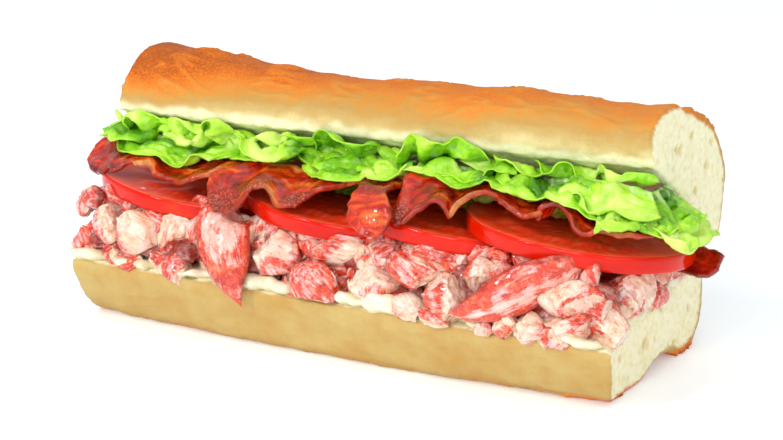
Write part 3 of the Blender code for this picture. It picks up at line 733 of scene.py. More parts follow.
# %% Chunks along the front
# Place x, y, z, the three radii, share of red skin, turn in the upright plane.
FRONT_CHUNKS = (
    (-84, -31, 26.5, 6, 5.5, 6.5, 0.75, 0.3), (-82.5, -25, 35, 5, 5, 4.5, 0.5, 1.0),
    (-76.5, -32.5, 30.5, 5.6, 4.6, 6.4, 0.35, 0.2), (-74, -33, 23.6, 4, 3.6, 3.6, 0.7, 0.0),
    (-65.5, -33, 29.4, 8, 5, 7.6, 0.18, 0.2), (-66, -34.8, 22.6, 5.2, 3.4, 2.8, 0.5, 0.0),
    (-53.5, -32, 31.4, 5.8, 4.6, 6.2, 0.3, 1.2), (-50.5, -35.2, 23, 6.2, 4.2, 4.6, 0.6, 0.4),
    (-56.5, -34.6, 23.8, 3.4, 3.2, 3.6, 0.45, 0.9), (-28, -31.5, 34, 4.4, 4, 4, 0.5, 0.2),
    (-17, -34, 30.6, 7.8, 5.2, 7.4, 0.62, 0.5), (-29, -33, 26, 4.4, 3.6, 5.2, 0.4, 1.1),
    (-1.5, -36.4, 26, 7.6, 5, 7.2, 0.62, -0.5), (2, -32, 34.6, 9, 5, 4.4, 0.55, -0.15),
    (-9.5, -33.4, 24, 4, 3.6, 3.8, 0.55, 0.0), (16.5, -34.6, 27.6, 8.4, 4.4, 5.4, 0.10, -0.3),
    (19.5, -31.4, 35, 6.4, 4.4, 4, 0.5, 0.1), (12, -33, 33.4, 4, 3.6, 3.6, 0.3, 0.6),
    (31, -34.4, 32.6, 9.6, 5, 5.2, 0.7, 0.12), (33, -31, 38, 9, 4, 2.8, 0.75, 0.06),
    (30, -36.2, 24.4, 5.2, 3.8, 3.6, 0.3, 0.3), (41, -35.6, 28.4, 8.4, 4.8, 6.4, 0.35, 0.25),
    (38, -37, 23.4, 6, 3.4, 2.8, 0.6, 0.1), (49.5, -32, 33.8, 4, 4, 5.6, 0.4, 0.5),
    (55, -30.5, 35.6, 4.2, 4, 3.2, 0.8, 0.0), (61.5, -36.6, 24.6, 5.4, 3.8, 3.8, 0.35, 0.2),
    (68.5, -36.8, 24.4, 4.8, 3.6, 4, 0.3, 0.8), (54, -36.8, 22.8, 3.6, 3, 2.6, 0.6, 0.0),
    (79, -34.4, 32.4, 9.4, 4.4, 4.8, 0.4, 0.05), (79.5, -33, 25.6, 8.6, 4.6, 5.4, 0.3, 0.1),
    (86, -28.5, 24.2, 8.2, 5, 5.6, 0.6, 0.35), (76, -36.6, 22.8, 4.4, 3.4, 3.2, 0.7, 0.0),
    (86.5, -16, 29, 5, 6, 6, 0.5, 0.0), (85.5, -4, 27, 4.6, 6, 6.4, 0.35, 0.5),
    (86, 8, 30, 4.6, 6, 4.6, 0.85, 0.2), (85.5, 19, 28.5, 4.4, 5, 4, 0.6, 0.0),
)
LEFT_CHUNKS = 19  # so many of them are in the left piece


def front_chunks(name, chunks, rng):
    bm = bmesh.new()
    layers = meat_layers(bm)
    for x, y, z, *radii, red, turn in chunks:
        low = 1 - ramp_up(z, 26.0, 33.0) if y < -30 else 0.0
        torn_chunk(bm, layers, Vector((x, y - 1.2 * low, z - 1.7 * low)), radii, rng, red, turn)
    finish_piece(name, bm, LOBSTER, "lobster", "lobster_salad")


chunk_rng = random.Random(41)
front_chunks("lobster_chunks_left", FRONT_CHUNKS[:LEFT_CHUNKS], chunk_rng)
front_chunks("lobster_chunks_right", FRONT_CHUNKS[LEFT_CHUNKS:], chunk_rng)

# %% Small pieces between and behind them
def small_pieces():
    """Flat flakes and shreds that fill the gaps between the chunks, and torn scraps at both ends."""
    rng = random.Random(17)
    bm = bmesh.new()
    layers = meat_layers(bm)
    for x in range(-85, 87, 6):
        for y, z in ((-31.0, 23), (-30.5, 28), (-30.0, 33), (-28.5, 37)):
            spot = Vector((x + rng.uniform(-3, 3), y + rng.uniform(-1.6, 1), z + rng.uniform(-2, 2)))
            radii = [rng.uniform(3.2, 5.4), rng.uniform(1.8, 3.0), rng.uniform(2.6, 4.4)]
            torn_chunk(bm, layers, spot, radii, rng, rng.uniform(0.3, 1.0), rng.uniform(-0.9, 0.9), 4, 4)
    for x in (-86, 86):
        for y in range(-28, 26, 6):
            level = crumb_level(x, y)
            spot = Vector((x + rng.uniform(-1.5, 1), y + rng.uniform(-1.5, 1.5), level + rng.uniform(3, 10)))
            radii = [rng.uniform(2.4, 3.4), rng.uniform(3.2, 7.0), rng.uniform(2.6, 5.4)]
            torn_chunk(bm, layers, spot, radii, rng, rng.uniform(0.2, 1.0), rng.uniform(-0.8, 0.8), 9, 4)
    finish_piece("lobster_scraps", bm, LOBSTER, "lobster", "lobster_salad")


small_pieces()

# %% [markdown]
# A claw's meat comes out of its shell whole: a flat, curved blade that narrows to a sharp
# point, red and finely dotted outside, with a pale pink flank. A circle with few sides is
# extruded from station to station along the blade, then subdivided smoothly. Its edges are
# redder than its flat sides, so each vertex learns how far across the blade it lies.

# %% Claws
CLAW_SPINES = {  # x, y, z, half width, half depth
    "claw_left": ((-35.5, -31, 39.5, 7, 2.6), (-34.5, -35, 37, 8, 3), (-32.3, -38, 33.9, 8.2, 3.5),
                  (-30, -40.3, 30.3, 7.4, 3.5), (-28.1, -42.2, 26.3, 6.1, 3.1), (-26.8, -43, 23, 4.4, 2.5),
                  (-25.4, -43, 19.8, 2.4, 1.6), (-23.7, -42.2, 15.6, 0.2, 0.2)),
    "claw_right": ((80, -26, 39.4, 4.2, 2), (75, -31.4, 38.4, 6.2, 3), (68.5, -36.6, 35.8, 7.2, 3.7),
                   (62.6, -39.6, 32.2, 6.9, 3.5), (56.2, -41.2, 28.5, 5.4, 2.9), (50.2, -42.3, 26, 3, 1.8),
                   (45.1, -42.4, 24.8, 0.2, 0.2)),
}
CLAW_SIDES = 14


def pull_claw(name, facing):
    """Skin of a claw, and its stations as (centre, side, half width). facing points into the heap."""
    rows, _ = smooth_line(CLAW_SPINES[name], 40)
    path = [Vector(row[:3]) for row in rows]
    stations = []
    bm = bmesh.new()
    ring = bmesh.ops.create_circle(bm, cap_ends=True, segments=CLAW_SIDES, radius=1.0)["verts"]
    face = ring[0].link_faces[0]
    for number, row in enumerate(rows):
        wide, deep = max(0.1, row[3]), max(0.1, row[4])
        forward = (path[min(len(path) - 1, number + 1)] - path[max(0, number - 1)]).normalized()
        side = forward.cross(facing).normalized()
        inward = side.cross(forward)
        stations.append((path[number], side, wide))
        if number:
            grown = bmesh.ops.extrude_face_region(bm, geom=[face])["geom"]
            old, face = face, next(item for item in grown if isinstance(item, bmesh.types.BMFace))
            if number > 1:
                bm.faces.remove(old)
            ring = face.verts[:]
        for step, vert in enumerate(ring):
            angle = 2 * math.pi * step / CLAW_SIDES
            vert.co = (path[number] + side * math.cos(angle) * wide
                       + inward * math.copysign(abs(math.sin(angle)) ** 1.2, math.sin(angle)) * deep)
    bmesh.ops.recalc_face_normals(bm, faces=bm.faces)
    bmesh.ops.subdivide_edges(bm, edges=[edge for edge in bm.edges if len(edge.link_faces) == 2], cuts=2,
                              use_grid_fill=True, smooth=0.6)
    bmesh.ops.triangulate(bm, faces=[face for face in bm.faces if len(face.verts) > 4])
    return bm, stations


def claw(name, facing, pale_root, band, seed):
    """A whole claw. pale_root is how far along the pale part reaches, band how much paler its middle is."""
    bm, stations = pull_claw(name, Vector(facing).normalized())
    raise_relief(bm, lumps(bm, (0.45, 7.0, seed), (0.16, 1.7, seed + 2)))
    skin, painted_shade, grain = meat_layers(bm)
    for vert in bm.verts:
        number = min(range(len(stations)), key=lambda index: (vert.co - stations[index][0]).length_squared)
        centre, side, wide = stations[number]
        along, across = number / len(stations), (vert.co - centre).dot(side)
        edge = min(1.0, abs(across / wide))
        red = 0.25 + 0.75 * ramp_up(along, pale_root - 0.15, pale_root + 0.3) + 0.7 * ramp_up(edge, 0.55, 1.0)
        middle = math.exp(-((across / wide - 0.15) / 0.35) ** 2)
        vert[skin] = red - band * middle + 0.45 * wander(vert.co, 4.0, seed + 5)
        # Painted shade: the claw is darkened at its rounded edges.
        vert[painted_shade] = 0.5 * ramp_up(edge, 0.8, 1.0)
        vert[grain] = Vector((along * 8.0, across, vert.co.y * 0.5)) + Vector((seed, seed, seed))
    finish_piece(f"lobster_{name}", bm, CLAW, "lobster", name)


claw("claw_left", (-0.45, 0.85, 0.15), 0.45, 0.15, 71.0)
claw("claw_right", (0.0, 0.92, 0.4), 0.05, 0.75, 77.0)

# %% [markdown]
# ## Bacon
# Streaky bacon is sliced belly pork: bands of lean meat and fat along its length, with rind at
# the edges. Fried, the lean turns dark red-brown and the fat amber and see-through. The strips
# buckle into waves, their surface foams into tiny bubbles, and all of it shines with oil.
#
# A strip is a ribbon between two edges, which are each a smooth line through a few places. A
# grid is laid between the lines, its edges are frayed, it gets ripples, and solidify makes it
# thick. Its UV map runs along and across the strip in millimetres, for the bands.

# %% Bacon material
def bacon_material():
    recipe = Recipe("streaky bacon, fried")
    froth = recipe.kept("froth")
    along = recipe.add("UVMap").outputs["UV"]
    stretched = recipe.add("Mapping", {"Vector": along, "Scale": (0.055, 0.2, 1.0)}).outputs[0]
    meat = recipe.ramp(recipe.pattern(stretched, 1.0, 3.0, 0.5, 0.7), (0.34, "700602"), (0.44, "B41806"),
                       (0.53, "DC340C"), (0.61, "EE6820"), (0.70, "F6A854"))
    tone = recipe.spread(recipe.noise(2.2, 6.0, 0.7), 0.35, 0.65, 0.5, 1.15)
    rinded = recipe.mix(recipe.kept("rind"), recipe.mix(1.0, meat, tone, "MULTIPLY"), "8E2C0C")
    bubbles = recipe.add("TexVoronoi", {"Vector": recipe.place, "Scale": 1 / (0.7 * MM)}).outputs["Distance"]
    # Froth: its own paler colour, plus a painted highlight in the middle of each bubble and painted shade
    # between the bubbles.
    foam = recipe.ramp(bubbles, (0.1, "DC8468"), (0.4, "B03A1E"), (0.75, "701008"))
    colour = recipe.mix(recipe.math("MULTIPLY", froth, 0.75), rinded, foam)
    height = recipe.add("Mix", {"Factor": froth, 2: recipe.noise(0.8, 3.0, 0.6), 3: bubbles}).outputs[0]
    return recipe.finish(Base_Color=colour, Roughness=0.14, Normal=recipe.bump(height, 0.6, 0.45),
                         Subsurface_Weight=0.22, Subsurface_Radius=(2.2, 0.6, 0.3), Subsurface_Scale=MM,
                         Specular_IOR_Level=0.25, Coat_Weight=0.55, Coat_Roughness=0.04)


BACON = bacon_material()

# %% One strip
BACON_THICKNESS = 1.7
GRID_STEP = 0.55


def ribbon(stations, seed):
    """Places on a frayed ribbon with rounded ends, in rows from one end to the other."""
    lines, length = smooth_line(stations, 8)
    width = np.mean(np.linalg.norm(lines[:, :3] - lines[:, 3:], axis=1))
    # The length of a row of two places is that of both edges at once, which is 1.42 times as long.
    rows, columns = int(length / 1.42 / GRID_STEP) + 2, int(width / GRID_STEP) + 2
    lines, length = smooth_line(stations, rows)
    places = np.zeros((rows, columns, 3))
    for row in range(rows):
        front, back = Vector(lines[row, :3]), Vector(lines[row, 3:])
        fray = [0.09 * wander(Vector((row * 0.5, side * 9.0, seed)), 2.2, seed) for side in (0, 1)]
        end = min(row, rows - 1 - row) / (rows - 1) * length / 6
        rounding = 1 - 0.28 * (1 - min(1.0, end)) ** 2
        for column in range(columns):
            t = 0.5 + (column / (columns - 1) - 0.5) * rounding
            places[row, column] = front.lerp(back, t + fray[0] * (1 - t) + fray[1] * t)
    return places


def bacon_strip(name, replaced, seed, stations, froth=(), banded_across=False):
    """Strip through stations, which hold a place on the front edge and the place across from it
    on the back edge. froth lists the foamy spots as x, y, z and reach."""
    bm = bmesh.new()
    froth_layer, rind_layer = layers_for(bm, "froth", "rind")
    places = ribbon(stations, seed)
    spots = grid_through(bm, places, GRID_STEP)
    if banded_across:
        uv = bm.loops.layers.uv["along and across"]
        for face in bm.faces:
            for loop in face.loops:
                loop[uv].uv = loop[uv].uv.yx + Vector((40.0, 7.0))
    for vert, (_, column) in spots.items():
        off_middle = abs(column / (places.shape[1] - 1) - 0.5)
        vert[rind_layer] = ramp_up(off_middle, 0.44, 0.5) * (0.55 + 0.45 * wander(vert.co, 5.0, seed))
        foams = [1 - ramp_up((vert.co - Vector(spot)).length / reach, 0.5, 1.0) for *spot, reach in froth]
        vert[froth_layer] = max(foams, default=0.0)
    bmesh.ops.recalc_face_normals(bm, faces=bm.faces)
    raise_relief(bm, lumps(bm, (0.9, 5.5, seed + 3), (0.4, 2.4, seed + 5)))
    bmesh.ops.solidify(bm, geom=bm.faces[:], thickness=BACON_THICKNESS)
    bmesh.ops.recalc_face_normals(bm, faces=bm.faces)
    smooth(bm, 2, 0.4)
    heights = []
    for vert in bm.verts:
        foam = vert[froth_layer]
        bubble = 0.5 - noise.voronoi(vert.co / 1.15)[0][0] if foam > 0.05 else 0.0
        heights.append(0.9 * foam * bubble + 0.10 * wander(vert.co, 1.0, seed + 9))
    raise_relief(bm, heights)
    finish_piece(name, bm, BACON, "bacon", *replaced)


# %% Strips from left to right
bacon_strip("bacon_left", ["bacon_3"], 1.0, [
    (-94.5, -17, 44, -95, -14, 47), (-89, -23, 42.6, -92.5, -11, 50), (-81, -26, 44.5, -86.5, -9, 51.5),
    (-74.5, -27, 47.2, -78, -8, 51), (-67.5, -28, 49, -70, -8, 49.5), (-62, -28.5, 46, -63, -8, 48),
    (-56, -29, 44.8, -56, -9, 48), (-50, -28.5, 46, -50, -9, 49), (-44, -27, 48.4, -44, -8, 50.6),
    (-37, -24, 50, -37, -7, 50.6)])
bacon_strip("bacon_folded", ["bacon_1", "bacon_4"], 2.0, [
    (-42.5, -30, 46, -44, -24, 50), (-37.5, -36.5, 42.5, -41, -22, 51), (-32, -38, 40.6, -36, -20, 51.8),
    (-27.5, -37.6, 43, -31, -18, 52), (-25, -34.5, 47.8, -27, -17, 51.8), (-21, -33.5, 48.8, -22, -16, 51.2),
    (-17, -35, 46.4, -18, -15, 51), (-13, -36, 45.2, -14, -15, 50.8), (-9, -35, 46.6, -10, -14, 50.6),
    (-5, -30, 49.8, -6, -13, 50.8), (0, -23, 50.4, -1, -12, 51), (6, -19, 50.8, 5, -11, 51)],
    froth=[(-35.5, -36, 44, 8.0), (-10, -33, 48, 5.5), (-24, -32, 49.5, 4.0)])
bacon_strip("bacon_end", ["bacon_2"], 3.0, [
    (8, -18, 51.5, 20, -18, 52.5), (8.5, -27, 52.4, 19.5, -27, 53.4), (9, -32, 51.8, 20, -32, 52.6),
    (9.2, -36, 48.8, 23.5, -36, 50.4), (11.5, -38.4, 45.5, 24.6, -38.3, 46.6),
    (14, -39.4, 43.4, 22.8, -39.2, 43.8), (17, -39.8, 42.4, 20, -39.8, 42.4)], banded_across=True)
bacon_strip("bacon_twisted", ["bacon_5"], 4.0, [
    (21.5, -31, 51, 19, -20, 55), (23, -35.5, 46.5, 21, -19, 56), (26.5, -36, 45.4, 25, -19, 56),
    (30.5, -34, 49.2, 29, -18, 55), (34.5, -30.6, 51.6, 33, -18, 53.6), (37.5, -31.5, 49.4, 36.5, -18, 52),
    (39.5, -31, 48.8, 39, -18, 52.6), (42, -28, 52.8, 42.5, -17, 54.5), (46.5, -25.5, 55.2, 46.5, -15, 55.5),
    (52, -26.5, 54.4, 52, -14, 54.6), (56.5, -28.5, 52, 57, -14, 52.6), (61, -29, 50.8, 61, -13, 51.6),
    (65.5, -27, 51.6, 65, -12, 51.6)], froth=[(24, -33, 48.5, 5.0)])
bacon_strip("bacon_curled", ["bacon_6"], 5.0, [
    (64.5, -27, 49.8, 65, -18, 50), (66, -25, 53.6, 67, -17, 54), (69, -23.5, 55, 70, -16, 55),
    (72.5, -25.4, 52.5, 73.5, -16, 52.6), (75.5, -27.4, 49.4, 77, -16, 49.6),
    (79.5, -27.8, 48.2, 81, -16, 48.6), (83.5, -26, 49.4, 85, -15, 49.6), (88, -23.5, 48.4, 89, -12, 48.6),
    (92, -19.5, 47.4, 91, -8, 46.8), (95, -13.5, 47, 92, -4, 46.4)])
bacon_strip("bacon_right", ["bacon_7"], 6.0, [
    (89, 8, 31.5, 90, 16, 37.4), (96, 7, 30.6, 96.5, 14, 37.6), (101, 6.6, 31, 101.5, 12.5, 38),
    (104.5, 7.4, 32.6, 105, 11.5, 37.8)])

# %% [markdown]
# ## Lettuce
# Green leaf lettuce is thin and springy, pale along its ribs and bright at its frilled rim. The
# frill has a simple cause: the rim of the leaf grows more than its middle, so there is too much
# edge for the space, and it buckles into waves on waves.
#
# That growth is imitated here. A leaf is a net of threads that is held along its back edge. The
# threads near the rim are longer than their space, and a short relaxation moves the knots until
# every thread has its length: the rim ruffles by itself. The knots are also kept above the
# bacon and tomato and out of the bread, so the leaf drapes as it should.

# %% Where a leaf may not go
GROUND_SIZE = (260, 120)
GROUND_MIDDLE = (130, 60)
LEAF_ROOM = 0.5  # kept above the ground
BREAD_ROOM = (1.2, 0.8)  # kept in front of the top half's edge, and below its cut
UNDER_THE_LEAVES = ("tomato_1", "tomato_2", "tomato_3", "tomato_4", "bacon_left", "bacon_folded", "bacon_end",
                    "bacon_twisted", "bacon_curled", "bacon_right", "lobster_body")


def ground_map():
    """Height of tomato, bacon and lobster from above, on a 1 mm raster."""
    trees = []
    for name in UNDER_THE_LEAVES:
        bm = in_mm(bpy.data.objects[name].data)
        trees.append(BVHTree.FromBMesh(bm))
        bm.free()
    heights = np.full(GROUND_SIZE, 20.0)
    for i, j in np.ndindex(GROUND_SIZE):
        above = Vector((i - GROUND_MIDDLE[0], j - GROUND_MIDDLE[1], 200))
        for tree in trees:
            hit = tree.ray_cast(above, Vector((0, 0, -1)))[0]
            if hit:
                heights[i, j] = max(heights[i, j], hit.z)
    # A leaf is too stiff to follow every edge: it rides 2 mm out from them in an even slope.
    for reach, blend in ((2, np.max), (1, np.mean)):
        steps = range(-reach, reach + 1)
        heights = blend([np.roll(heights, (i, j), (0, 1)) for i in steps for j in steps], axis=0)
    return heights


GROUND = ground_map()
print("the highest place under the leaves is at", round(GROUND.max(), 1), "mm")


def ground_height(places):
    cells = [np.clip(np.rint(places[..., axis]).astype(int) + GROUND_MIDDLE[axis], 0, GROUND_SIZE[axis] - 1)
             for axis in (0, 1)]
    return GROUND[cells[0], cells[1]]


def keep_clear(places):
    """Moves knots above the ground and out of the top half of the roll."""
    x, y, z = (places[..., axis] for axis in range(3))
    z[:] = np.maximum(z, ground_height(places) + LEAF_ROOM)
    edge_y, edge_z, hinge_y = cut_edges(x)
    cut_z = edge_z + (HINGE_HEIGHT - edge_z) * (y - edge_y) / (hinge_y - edge_y)
    front, below = edge_y - BREAD_ROOM[0], cut_z - BREAD_ROOM[1]
    beside = np.abs(x - TOP_SHIFT) > ROLL_LENGTH / 2 + 0.5
    inside = (z > below) & (y > front) & ~beside
    shallow = inside & (y < edge_y + 2.0)
    y[shallow] = front[shallow]
    deep = inside & ~shallow
    z[deep] = below[deep]


# %% A net of threads
KNOT = 1.1  # between neighbouring knots, in mm
NEAR, FAR, SLANTING = 0.9, 0.08, 0.2  # stiffness: to the next knot, to the one after it, and across


def pull(a, b, rest, stiffness):
    """Moves the two ends of many threads towards their length. Both are views of one net."""
    gap = b - a
    length = np.linalg.norm(gap, axis=-1, keepdims=True) + 1e-9
    shift = gap * (0.5 * stiffness * (length - rest[..., None]) / length)
    a += shift
    b -= shift


def pull_row(net, rest, span, stiffness):
    """Pulls threads that join each knot to the one span places on, in turns that share no knot."""
    for turn in range(2 * span):
        start = turn % span + (turn // span) * span
        a, b = net[start:-span:2 * span], net[start + span::2 * span]
        pull(a[:len(b)], b[:len(a)], rest[start::2 * span][:len(b)], stiffness)


def pull_net(net, across, out):
    """One pass over all threads: across the leaf, out from its base, slanting, and the stiff double ones."""
    turned = net.transpose(1, 0, 2)
    for span, stiffness in ((1, NEAR), (2, FAR)):
        pull_row(net, span * out[:len(net) - span], span, stiffness)
        pull_row(turned, span * across.T[:len(turned) - span], span, stiffness)
    slant = np.sqrt(across[:-1] ** 2 + out[:, :-1] ** 2)
    for row in (0, 1):
        for column in (0, 1):
            rest = slant[row::2, column::2]
            pull(net[row:-1:2, column:-1:2], net[row + 1::2, column + 1::2], rest, SLANTING)
            pull(net[row:-1:2, column + 1::2], net[row + 1::2, column:-1:2], rest, SLANTING)


def calm(net, farthest=1.5):
    """Draws back every knot that was thrown farther than that from its four neighbours' middle."""
    for _ in range(12):
        wide = np.pad(net, ((1, 1), (1, 1), (0, 0)), mode="edge")
        around = (wide[:-2, 1:-1] + wide[2:, 1:-1] + wide[1:-1, :-2] + wide[1:-1, 2:]) / 4
        thrown = np.linalg.norm(net - around, axis=-1) > farthest
        net[thrown] = around[thrown]


# %% Growing a leaf
def leaf_outline(s, length, notches, rng):
    """How far out the rim lies for each place s from 0 to 1 along it, as a share of the leaf's reach."""
    outline = 1 - 0.45 * np.abs(2 * s - 1) ** 2.6
    for size, depth in ((19, 0.20), (11, 0.16), (6.5, 0.12), (3.6, 0.12)):
        wave = np.sin(length * s / size * np.pi + rng.uniform(0, 6) + np.sin(5 * s + rng.uniform(0, 6)))
        outline = outline + depth * rng.uniform(0.5, 1) * (1 - 2 * np.abs(wave))
    for notch in rng.uniform(0.1, 0.9, notches):
        outline = outline * (1 - 0.5 * np.exp(-((s - notch) * length / 1.6) ** 2))
    return np.maximum(outline, 0.35)


def grow_leaf(base, reach, growth, seed, lift, droop=0.0, notches=2, steps=150):
    """Net of a ruffled leaf.

    base is the held back edge as rows of (x, y, z, direction x, direction y), and reach how far
    the leaf grows out from it in mm. growth is how much longer the rim is than the back edge.
    """
    rng = np.random.default_rng(seed)
    length = smooth_line([row[:3] for row in base], 2)[1]
    columns, rows = int(length / KNOT) + 1, int(reach / KNOT) + 1
    held = smooth_line(base, columns)[0]
    t = np.linspace(0, 1, rows)[:, None]
    s = np.linspace(0, 1, columns)[None, :]
    outline = leaf_outline(s, length, notches, rng)
    direction = held[:, 3:5] / np.linalg.norm(held[:, 3:5], axis=1, keepdims=True)
    net = np.zeros((rows, columns, 3))
    net[..., :2] = held[None, :, :2] + direction[None] * (reach * t * outline)[..., None]
    net[..., 2] = held[None, :, 2] + lift * t ** 1.5
    for size, height in ((17, 2.2), (10, 1.6), (6, 0.9)):
        drift = rng.uniform(0, 6) + 1.6 * np.sin(2 * np.pi * s * rng.uniform(0.7, 2.6) + rng.uniform(0, 6))
        net[..., 2] += height * t ** 1.2 * np.sin(2 * np.pi * length * s / size + drift + 1.2 * t)
    uneven = 1 + 0.45 * np.sin(2 * np.pi * length * s / rng.uniform(16, 26) + rng.uniform(0, 6))
    stretch = 1 + (growth - 1) * uneven[:, :-1] * t ** 1.15
    across = np.linalg.norm(np.diff(held[:, :2], axis=0), axis=-1)[None] * stretch
    out = KNOT * outline * (1 + 0.15 * t[1:])
    start, before = net.copy(), net.copy()
    for step in range(steps):
        moved = net + np.clip((net - before) * 0.85, -1.0, 1.0)
        moved[..., 2] -= droop * t
        before, net = net, moved
        for _ in range(3):
            pull_net(net, across, out)
            net[:2] = start[:2]
        keep_clear(net)
        if step % 10 == 9:
            calm(net)
        net[:2] = start[:2]
    return net


def finer(net):
    """The same net with twice as many knots each way, on smooth curves through the old ones."""
    for _ in range(2):
        rows = net.shape[0]
        padded = np.concatenate([2 * net[:1] - net[1:2], net, 2 * net[-1:] - net[-2:-1]])
        stops = np.linspace(0, rows - 1, (rows - 1) * 2 + 1)
        cell = np.minimum(stops.astype(int), rows - 2)
        four = (padded[cell + step] for step in range(4))
        net = between(*four, (stops - cell)[:, None, None]).transpose(1, 0, 2)
    return net


# %% [markdown]
# The leaf's skin is blistered, as relief of a few tenths of a millimetre on the finished net.
# The veins fan out from the back edge as a pattern kept for the material, which makes ribs
# whiter and the rim brighter. The material also paints shade towards each leaf's held base.

# %% Lettuce material
def lettuce_material():
    recipe = Recipe("green leaf lettuce")
    fine = recipe.noise(1.6, 4.0)
    fine_tone = recipe.spread(fine, 0.3, 0.7, -0.06, 0.06)
    # The kept number darkens each leaf towards its held base as painted shade, lightens it out at the rim,
    # and adds the leaf's own tone.
    toned_and_shaded = recipe.math("MULTIPLY_ADD", recipe.kept("tone_and_shade"), 0.085, fine_tone)
    green = recipe.ramp(recipe.math("ADD", recipe.noise(13, 1.5), toned_and_shaded),
                        (0.26, "3F8206"), (0.4, "7FC216"), (0.53, "B2EA38"), (0.68, "DAF87C"))
    ribbed = recipe.mix(recipe.spread(recipe.kept("vein"), 0.1, 1.0, 0.0, 0.75), green, "D6F0A0")
    colour = recipe.mix(recipe.kept("rim"), ribbed, "A6DC34")
    return recipe.finish(Base_Color=colour, Roughness=0.3, Normal=recipe.bump(fine, 0.5, 0.4),
                         Subsurface_Weight=0.25, Subsurface_Radius=(0.9, 1.4, 0.25), Subsurface_Scale=MM,
                         Specular_IOR_Level=0.45)


LETTUCE = lettuce_material()
LEAF_THICKNESS = 0.4


def draw_back(bm, farthest):
    """Solidify throws a vertex far out where a leaf is folded flat: such ones go back to their neighbours."""
    for _ in range(6):
        for vert in bm.verts:
            near = [edge.other_vert(vert).co for edge in vert.link_edges]
            around = sum(near, Vector()) / len(near)
            if (vert.co - around).length > farthest:
                vert.co = around


def lettuce_leaf(node, *grown):
    """One piece from one or more grown nets."""
    bm = bmesh.new()
    vein, rim, tone_and_shade = layers_for(bm, "vein", "rim", "tone_and_shade")
    for count, net in enumerate(grown):
        leaf_age = math.sin(5.3 * count + 2.1 * net[0, 0, 0])
        net = finer(net)
        rows, columns = net.shape[:2]
        for vert, (row, column) in grid_through(bm, net, GRID_STEP).items():
            t, s = row / (rows - 1), column / (columns - 1)
            fan = math.sin((s - 0.5) * columns * 0.55 * (1 - 0.35 * t) * 2 * math.pi / 9.0)
            vert[vein] = max(0.0, abs(fan) - 0.86) / 0.14 * (1 - t) + 0.5 * ramp_up(0.3 - t, 0, 0.3)
            vert[rim] = 0.6 * ramp_up(t, 0.94, 1.0)
            # Each leaf's own tone, plus painted shade that darkens it towards its held base and lightens it
            # towards the rim.
            vert[tone_and_shade] = leaf_age + 1.6 * (t - 0.65)
    raise_relief(bm, lumps(bm, (0.34, 3.8, 3.0), (0.24, 1.4, 5.0)))
    bmesh.ops.solidify(bm, geom=bm.faces[:], thickness=LEAF_THICKNESS)
    draw_back(bm, 0.9)
    finish_piece(node.replace("lettuce", "lettuce_leaf"), bm, LETTUCE, "lettuce", node)


# %% Kinds of leaf
def back_edge(left, right, y, z, fan, front):
    """Four places on a straight back edge, each with the direction in which the leaf grows out there."""
    return [(left + (right - left) * part, y, z, (part - 0.5) * fan, front) for part in (0, 1 / 3, 2 / 3, 1)]


def uneven(rows, seed):
    """The same back edge, bent a little up, down, forward and back."""
    rng = random.Random(seed)
    return [(x, y + rng.uniform(-2.5, 2.5), z + rng.uniform(-1.5, 1.5), fan + rng.uniform(-0.3, 0.3), front)
            for x, y, z, fan, front in rows]


def over_bacon(left, right, z, reach, droop, seed):
    """Leaf that lies over the bacon and hangs down in front of it."""
    return grow_leaf(uneven(back_edge(left, right, -7.0, z, 0.8, -1.0), seed), reach, 1.9, seed, -2.0, droop)


def under_bun(left, right, reach, lift, seed):
    """Leaf that is held under the cut of the top half and rises in front of the bread."""
    rows = []
    for x, _, _, fan, front in back_edge(left, right, 0.0, 0.0, 0.8, -1.0):
        edge_y, edge_z, hinge_y = cut_edges(x)
        slope = (HINGE_HEIGHT - edge_z) / (hinge_y - edge_y)
        rows.append((x, edge_y + 7, edge_z + slope * 7 - 1.6, fan, front))
    return grow_leaf(rows, reach, 2.0, seed, lift)


def behind_slices(left, right, seed):
    """Flatter leaf that lies back over the tomato and closes the view through the roll."""
    rows = back_edge(left, right, -9.0, 50, 0.3, 1.0)
    return grow_leaf(uneven(rows, seed), 38, 1.15, seed, -2.0, 0.02, steps=80)


def at_right_end(x, y, z, turn, reach, seed):
    """Leaf that hangs out of the right end in the direction turn, in degrees from the front."""
    out_x, out_y = math.sin(math.radians(turn)), -math.cos(math.radians(turn))
    rows = [(x - out_y * step, y + out_x * step, z, out_x - 0.04 * out_y * step, out_y + 0.04 * out_x * step)
            for step in (-8, -3, 3, 8)]
    return grow_leaf(uneven(rows, seed), reach, 1.5, seed, -1.0, 0.010, notches=4)


